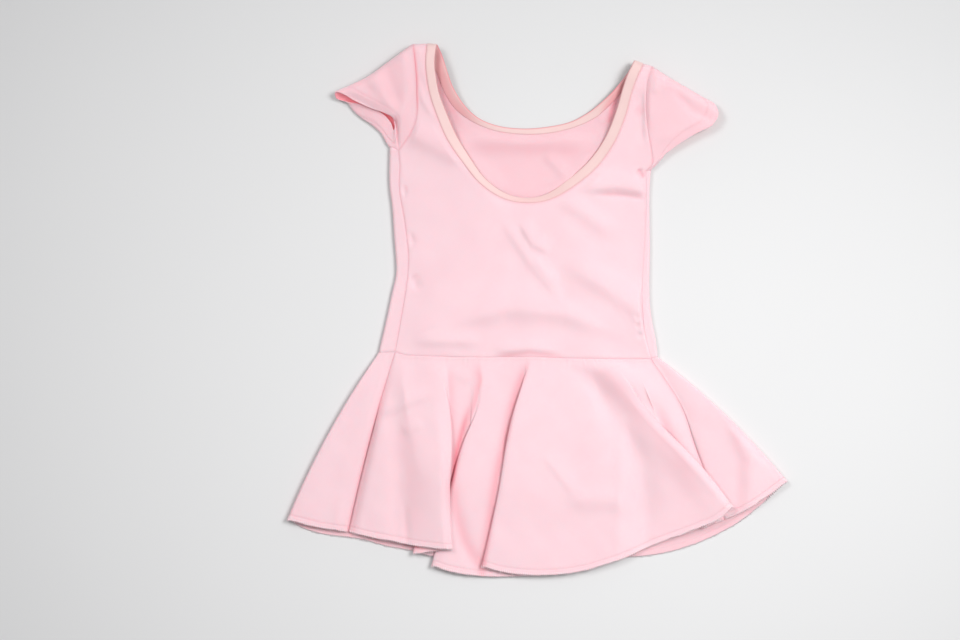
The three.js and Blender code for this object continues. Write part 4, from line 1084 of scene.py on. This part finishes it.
def skirtPatch(ribs, turns, overBrief, look, onFront):
    ribs = np.array(ribs, float)
    line = Curve(ribs)
    places = [0.0]
    for k in range(len(ribs) - 1):
        count = max(3, math.ceil(np.linalg.norm(ribs[k + 1, :3] - ribs[k, :3]) / skirtHang["step"]))
        places.extend(k + np.arange(1, count + 1) / count)
    places = np.array(places)
    r = line.at(places)
    hem, waist = r[:, :3], r[:, 3:6].copy()
    curl, spread, start, rise, bend, bentAt = r[:, 6:].T
    if onFront:
        waist = waistAt(np.clip(waist[:, 0], *frontEdges["waist"][1][[0, -1], 0]))
    # rows down the skirt, closer together by the waist and the hem
    rows = [np.linspace(0, 0.06, 10), np.linspace(0.06, 0.955, 76), np.linspace(0.955, 1, 13)]
    v = np.unique(np.concatenate(rows))[:, None]
    p = waist + (hem - waist) * v[..., None]
    run = unit(hem[:, :2] - waist[:, :2])
    bow = skirtHang["bow"] * smooth((np.abs(hem[:, 0]) - 140) / 70) * 4 * v * (1 - v)
    p[..., 0] += np.sign(hem[:, 0]) * bow * np.abs(run[:, 1])
    opens = np.maximum(0, start - 0.12)
    p[..., 0] += spread * (v - smooth((v - opens) / (start + 0.03 - opens))) + curl * smooth((v - start) / 0.18)
    p[..., 0] += bend * nearTo(v - bentAt, 0.7 * bentAt) * smooth(v / 0.1)
    p[..., 1] += bow * np.abs(run[:, 0])
    middle = smooth((1 - np.abs(waist[:, 0] + 13) / 115) / 0.25)
    lift = overBrief * middle * (1 - smooth((v - 0.58) / 0.27))
    p[..., 2] = mix(waist[:, 2], hem[:, 2] + lift, smooth(v / rise))

    arc = lengthsAlong(hem)
    fromFold, hidden, shown = foldMasks(p, v, arc, np.interp(turns, places, arc))
    bySide = np.minimum(arc, arc[-1] - arc)[None, :] * (0.4 + 0.6 * v)
    x, y, smoothly = p[..., 0], p[..., 1], p[..., 2].copy()
    p[..., 2] += shown * (creaseField(x, y, look["creases"])
                          + look["swell"] * swell(x, y, 48, 11) * smooth(bySide / 8) * smooth(v / 0.15))
    lowest = np.minimum(smoothly, 1.7 + lift if onFront else 0.5)     # held up off what lies below
    p[..., 2] = np.maximum(p[..., 2], lowest)
    # painted shade along the listed lines, and deeper on cloth hidden under a fold
    blush = mix(creaseField(x, y, look["blush"]) * smooth(v / 0.1), 0.4, hidden * smooth((fromFold - 2) / 4))

    length = np.linalg.norm(hem - waist, axis=1)
    flat = ringSector(lengthsAlong(waist)[-1], arc, length.mean(), v)
    fromHem, fromWaist = (1 - v) * length, v * length
    along = arc[None, :] + 0 * v
    turned = smooth((skirtHang["hem"] - fromHem) / 0.8)
    stitch = nearTo(fromHem - skirtHang["hem"], 0.8)
    gather = nearTo(fromWaist, 7) * np.sin(arc * 0.21 + 2 * np.sin(arc * 0.11))
    rolled = nearTo(fromWaist - 1.3, 1.0)
    uneven = np.sin(along * 2.9) * 0.5 + swell(along, 0 * along, 5, 5)
    over = look["thick"] / 2 - 0.3 * nearTo(bySide, seamWide) - 0.25 * stitch + 0.12 * turned
    over = over + 0.1 * turned * uneven + 0.1 * gather + 0.25 * rolled
    ragged = np.where(v > 0.9999, skirtHang["ragged"] * (uneven + 0.6), 0)
    # painted shade on the wrong side, except within a few mm of the hem
    deep = 0.7 * smooth((fromHem - (2 if onFront else mix(8, 15, smooth(x / 150)))) / 6)
    # painted shade at the side seams and the waist seam; the hem's stitching gets a little too
    seamShade = mix(0.3, 0.16, v) * nearTo(bySide, mix(0.7, 1.6, v)) + 0.12 * nearTo(fromWaist, 0.7)
    return dict(points=p, flat=flat, over=over, under=look["thick"] / 2 + 0.3 * turned, ragged=ragged,
                hem=fromHem, shade=np.clip(blush + seamShade + 0.1 * stitch, 0, 1), wrongSide=0.04 + deep)


frontLine, frontTurns = frontRibs()
backLine, backTurns = backRibs(frontLine[-1], frontLine[0])
skirtPatches = [skirtPatch(frontLine, frontTurns, skirtHang["overBrief"], skirtFront, True),
                skirtPatch(backLine, backTurns, 0, skirtBack, False)]
skirtPieces = [weld([patch]) for patch in skirtPatches]

# brief: two flat layers inside the skirt
brief = dict(
    thick=0.8,
    levels=dict(front=3.1, back=1.8),
    sections=table("y left right", [
        [-45.5, -130.0, 96.0],
        [-58.0, -127.0, 93.0],
        [-75.0, -115.0, 82.0],
        [-92.0, -96.0, 64.0],
        [-110.0, -78.0, 47.0],
        [-130.0, -62.0, 32.0],
        [-150.0, -52.0, 22.0],
        [-166.0, -47.0, 17.0],
    ]),
)


def briefPatch(level, isFront):
    s = brief["sections"]
    line = Curve(np.stack([s["left"], s["right"], s["y"]], -1))
    r = line.at(np.linspace(0, line.spans, 60))
    t = np.linspace(0, 1, 70)
    if not isFront:
        t = t[::-1]
    xs = mix(r[:, :1], r[:, 1:2], t)
    p = np.stack([xs, r[:, 2:] + 0 * xs, level + 0 * xs], -1)
    return dict(points=p, flat=p[..., :2].copy())


briefPieces = [weld([briefPatch(level, side == "front")]) for side, level in brief["levels"].items()]
print("middle surfaces laid out")

both, sleeveSides = [outside, inside], [outside, sleeveInside]
work = [    # name, node, middle surface, finishes and values
    ("bodiceFront", "bodice_front", frontPiece, both, bodiceFront),
    ("bodiceBack", "bodice_back", backPiece, both, bodiceBack),
    ("neckBinding", "neck_binding", bindingPiece, [bindingFinish], neckBinding),
    ("sleeveLeft", "sleeve_left", sleevePieces[0], sleeveSides, sleeveLeft),
    ("sleeveRight", "sleeve_right", sleevePieces[1], sleeveSides, sleeveRight),
    ("skirtFront", "skirt_front", skirtPieces[0], both, skirtFront),
    ("skirtBack", "skirt_back", skirtPieces[1], both, skirtBack),
    ("briefFront", "brief_front", briefPieces[0], both, brief),
    ("briefBack", "brief_back", briefPieces[1], both, brief),
]
shareDirections([piece for _, _, piece, _, _ in work])
made = {name: makeCloth(name, piece, finishes, look["thick"], node)
        for name, node, piece, finishes, look in work}
for name, piece in made.items():
    "elastic" if name == "neckBinding" else "cloth"


# sewing: threads laid on a patch of middle surface
def onPatch(patch, rows, columns):
    # places on a patch at whole or part rows and columns, and the way its outside faces there
    p = patch["points"]
    normals = unit(np.cross(np.gradient(p, axis=0), np.gradient(p, axis=1)))
    i = np.clip(rows, 0, p.shape[0] - 1.001)
    j = np.clip(columns, 0, p.shape[1] - 1.001)
    a, b = i.astype(int), j.astype(int)
    u, w = (i - a)[..., None], (j - b)[..., None]
    blend = lambda g: mix(mix(g[a, b], g[a + 1, b], u), mix(g[a, b + 1], g[a + 1, b + 1], u), w)
    return blend(p), unit(blend(normals))


def rowsAt(known, value):
    # the part row in each column where a known distance, falling from row to row, has a value
    return np.array([np.interp(-value, -column, np.arange(len(column))) for column in known.T])


def makeThreads(name, lines, ups, radius, material, sides=5):
    # one closed tube along each line of points, thinner at its ends; all lines have the same number of points
    along = unit(np.gradient(lines, axis=1))
    across = unit(np.cross(along, ups))
    up = np.cross(across, along)
    count, steps = lines.shape[:2]
    angle = np.linspace(0, 2 * math.pi, sides, endpoint=False)[:, None]
    wide = np.full(steps, radius)
    wide[[0, -1]] *= 0.55
    ring = across[:, :, None] * np.cos(angle) + up[:, :, None] * np.sin(angle)
    corners = lines[:, :, None] + ring * wide[None, :, None, None]
    corners[..., 2] = np.maximum(corners[..., 2], floorGap)
    index = np.arange(count * steps * sides).reshape(count, steps, sides)
    after = np.roll(index, -1, axis=2)
    walls = np.stack([index[:, :-1], after[:, :-1], after[:, 1:], index[:, 1:]], -1).reshape(-1, 4)
    ends = np.concatenate([index[:, 0, ::-1], index[:, -1]])
    mesh = bpy.data.meshes.new(name)
    mesh.from_pydata((corners.reshape(-1, 3) * mm).tolist(), [], walls.tolist() + ends.tolist())
    mesh.materials.append(material)
    print(f"{name}: {count} threads, {len(walls) * 2 + len(ends) * (sides - 2)} triangles")
    return addPiece(name, mesh)


def runStitches(name, patch, rows, above, thread, between=(0, 1)):
    # a row of stitches along part rows of a patch, each end sunk into the cloth
    columns = np.arange(patch["points"].shape[1])
    path, _ = onPatch(patch, rows, columns)
    run = lengthsAlong(path)
    pitch, radius = thread["pitch"], thread["radius"]
    starts = np.arange(between[0] * run[-1] + pitch, between[1] * run[-1] - pitch, pitch)
    starts = starts + np.sin(starts * 1.7) * 0.06 * pitch
    places = starts[:, None] + thread["length"] * np.array([0, 0.2, 0.5, 0.8, 1])
    at = np.interp(places, run, columns)
    lines, ups = onPatch(patch, np.interp(at, columns, rows), at)
    lines += ups * (above + radius * np.array([-0.5, 0.35, 0.6, 0.35, -0.5]))[None, :, None]
    return makeThreads(name, lines, ups * np.sign(above), radius, threadFinish)


def overlock(name, patch, loop):
    # loops of thread that bind a raw edge at a patch's last row, from top to underside
    pitch, above, below = loop["pitch"], loop["above"], loop["below"]
    rows, columns = patch["points"].shape[:2]
    run = lengthsAlong(patch["points"][-1])
    starts = np.arange(pitch, run[-1] - pitch, pitch)
    uneven = np.random.RandomState(21).uniform(0, 1, len(starts))
    inwards = rowsAt(patch["hem"], loop["deep"])
    at = np.interp(starts, run, np.arange(columns))
    slant = np.interp(starts + 0.35 * pitch, run, np.arange(columns))
    edge, upEdge = onPatch(patch, np.full(at.shape, rows - 1.0), slant)
    inner, upInner = onPatch(patch, np.interp(at, np.arange(columns), inwards), at)
    out = unit(edge - inner)
    middle = mix(inner, edge, 0.6)
    reach = (0.3 + 1.2 * uneven ** 2)[:, None]
    lines = np.stack([inner + upInner * above * 0.7, middle + upEdge * above, edge + upEdge * above * 0.9,
                      edge + out * reach, edge - upEdge * below * 0.9, middle - upEdge * below], 1)
    ups = np.stack([upInner, upEdge, unit(upEdge + out), out, unit(out - upEdge), -upEdge], 1)
    return makeThreads(name, lines, ups, loop["radius"], loopFinish, sides=4)


# mm from one stitch to the next, its length and the thread's radius
sewing = dict(
    plain=dict(pitch=2.9, length=2.2, radius=0.17),
    neck=dict(pitch=2.6, length=1.9, radius=0.15),
    tack=dict(pitch=0.7, length=1.2, radius=0.2),
    loops=dict(pitch=1.9, deep=2.4, above=0.62, below=0.75, radius=0.3),
)
threads = {name: [] for name in made}
for name, patch in zip(("skirtFront", "skirtBack"), skirtPatches):
    line = rowsAt(patch["hem"], skirtHang["hem"])
    for side, above in (("Outside", 0.2), ("Inside", -0.45)):
        threads[name].append(runStitches(name + "HemStitch" + side, patch, line, above, sewing["plain"]))
    threads[name].append(overlock(name + "HemLoops", patch, sewing["loops"]))
for name, patch in zip(("sleeveLeft", "sleeveRight"), sleevePatches):
    line = rowsAt(patch["hem"], cuff["turned"])
    threads[name].append(runStitches(name + "CuffStitch", patch, line, 0.2, sewing["plain"]))
bindingRows = np.full(neckPatch["points"].shape[0], 1.0)
turnedPatch = dict(points=neckPatch["points"].transpose(1, 0, 2))
above = neckBinding["thick"] / 2
for name, side in (("neckStitchOutside", -above), ("neckStitchInside", above)):
    threads["neckBinding"].append(runStitches(name, turnedPatch, bindingRows, side, sewing["neck"]))
tackSpan = (0.0125, 0.0195)     # of the way round the neck, at the left shoulder
tack = runStitches("neckTack", turnedPatch, bindingRows + 0.6, -above, sewing["tack"], tackSpan)
threads["neckBinding"].append(tack)
print("sewing done")
# floor, light and camera
room = dict(
    floor=colour(216, 216, 216),
    sky=colour(250, 250, 252),
    skyStrength=0.42,
    # where each light stands, what it points at, its radius, power and how wide its cone is in degrees
    key=dict(place=(1.3, 0.5, 1.9), aim=(0.14, -0.12, 0), radius=0.6, watts=218, cone=47),
    fill=dict(place=(-1.2, 0.8, 1.7), aim=(0.0, -0.06, 0), radius=0.4, watts=66, cone=50),
)
bpy.ops.mesh.primitive_plane_add(size=12, location=(0, 0, -0.0001))
floor = bpy.context.object
floor.name = "floor"
floorFinish = Finish("paleFloor")
speck = floorFinish.noise(floorFinish.node("TexCoord", output="Object"), 6.0, 2.0)
paler = tuple(c * 0.985 for c in room["floor"])
floorFinish.set(Base_Color=floorFinish.between(room["floor"], paler, speck))
floorFinish.set(Roughness=0.7, Specular_IOR_Level=0.2)
floor.data.materials.append(floorFinish.material)

world = bpy.data.worlds.new("room")
bpy.context.scene.world = world
world.use_nodes = True
sky = world.node_tree.nodes["Background"].inputs
sky["Color"].default_value = (*room["sky"], 1)
sky["Strength"].default_value = room["skyStrength"]
for name in ("key", "fill"):
    light = bpy.data.lights.new(name, "SPOT")
    light.shadow_soft_size = room[name]["radius"]
    light.spot_size = math.radians(room[name]["cone"])
    light.spot_blend = 1.0
    light.energy = room[name]["watts"]
    lamp = bpy.data.objects.new(name, light)
    lamp.location = room[name]["place"]
    toAim = Vector(room[name]["aim"]) - lamp.location
    lamp.rotation_euler = toAim.to_track_quat("-Z", "Y").to_euler()
    bpy.context.scene.collection.objects.link(lamp)

camera = dict(middle=(-0.052, -0.0083), height=2.4, lens=100)
eye = bpy.data.objects.new("camera", bpy.data.cameras.new("camera"))
eye.data.lens = camera["lens"]
eye.data.sensor_width = 36
eye.location = (*camera["middle"], camera["height"])
bpy.context.scene.collection.objects.link(eye)
bpy.context.scene.camera = eye
bpy.context.scene.view_settings.view_transform = "Standard"
print("floor, light and camera set")
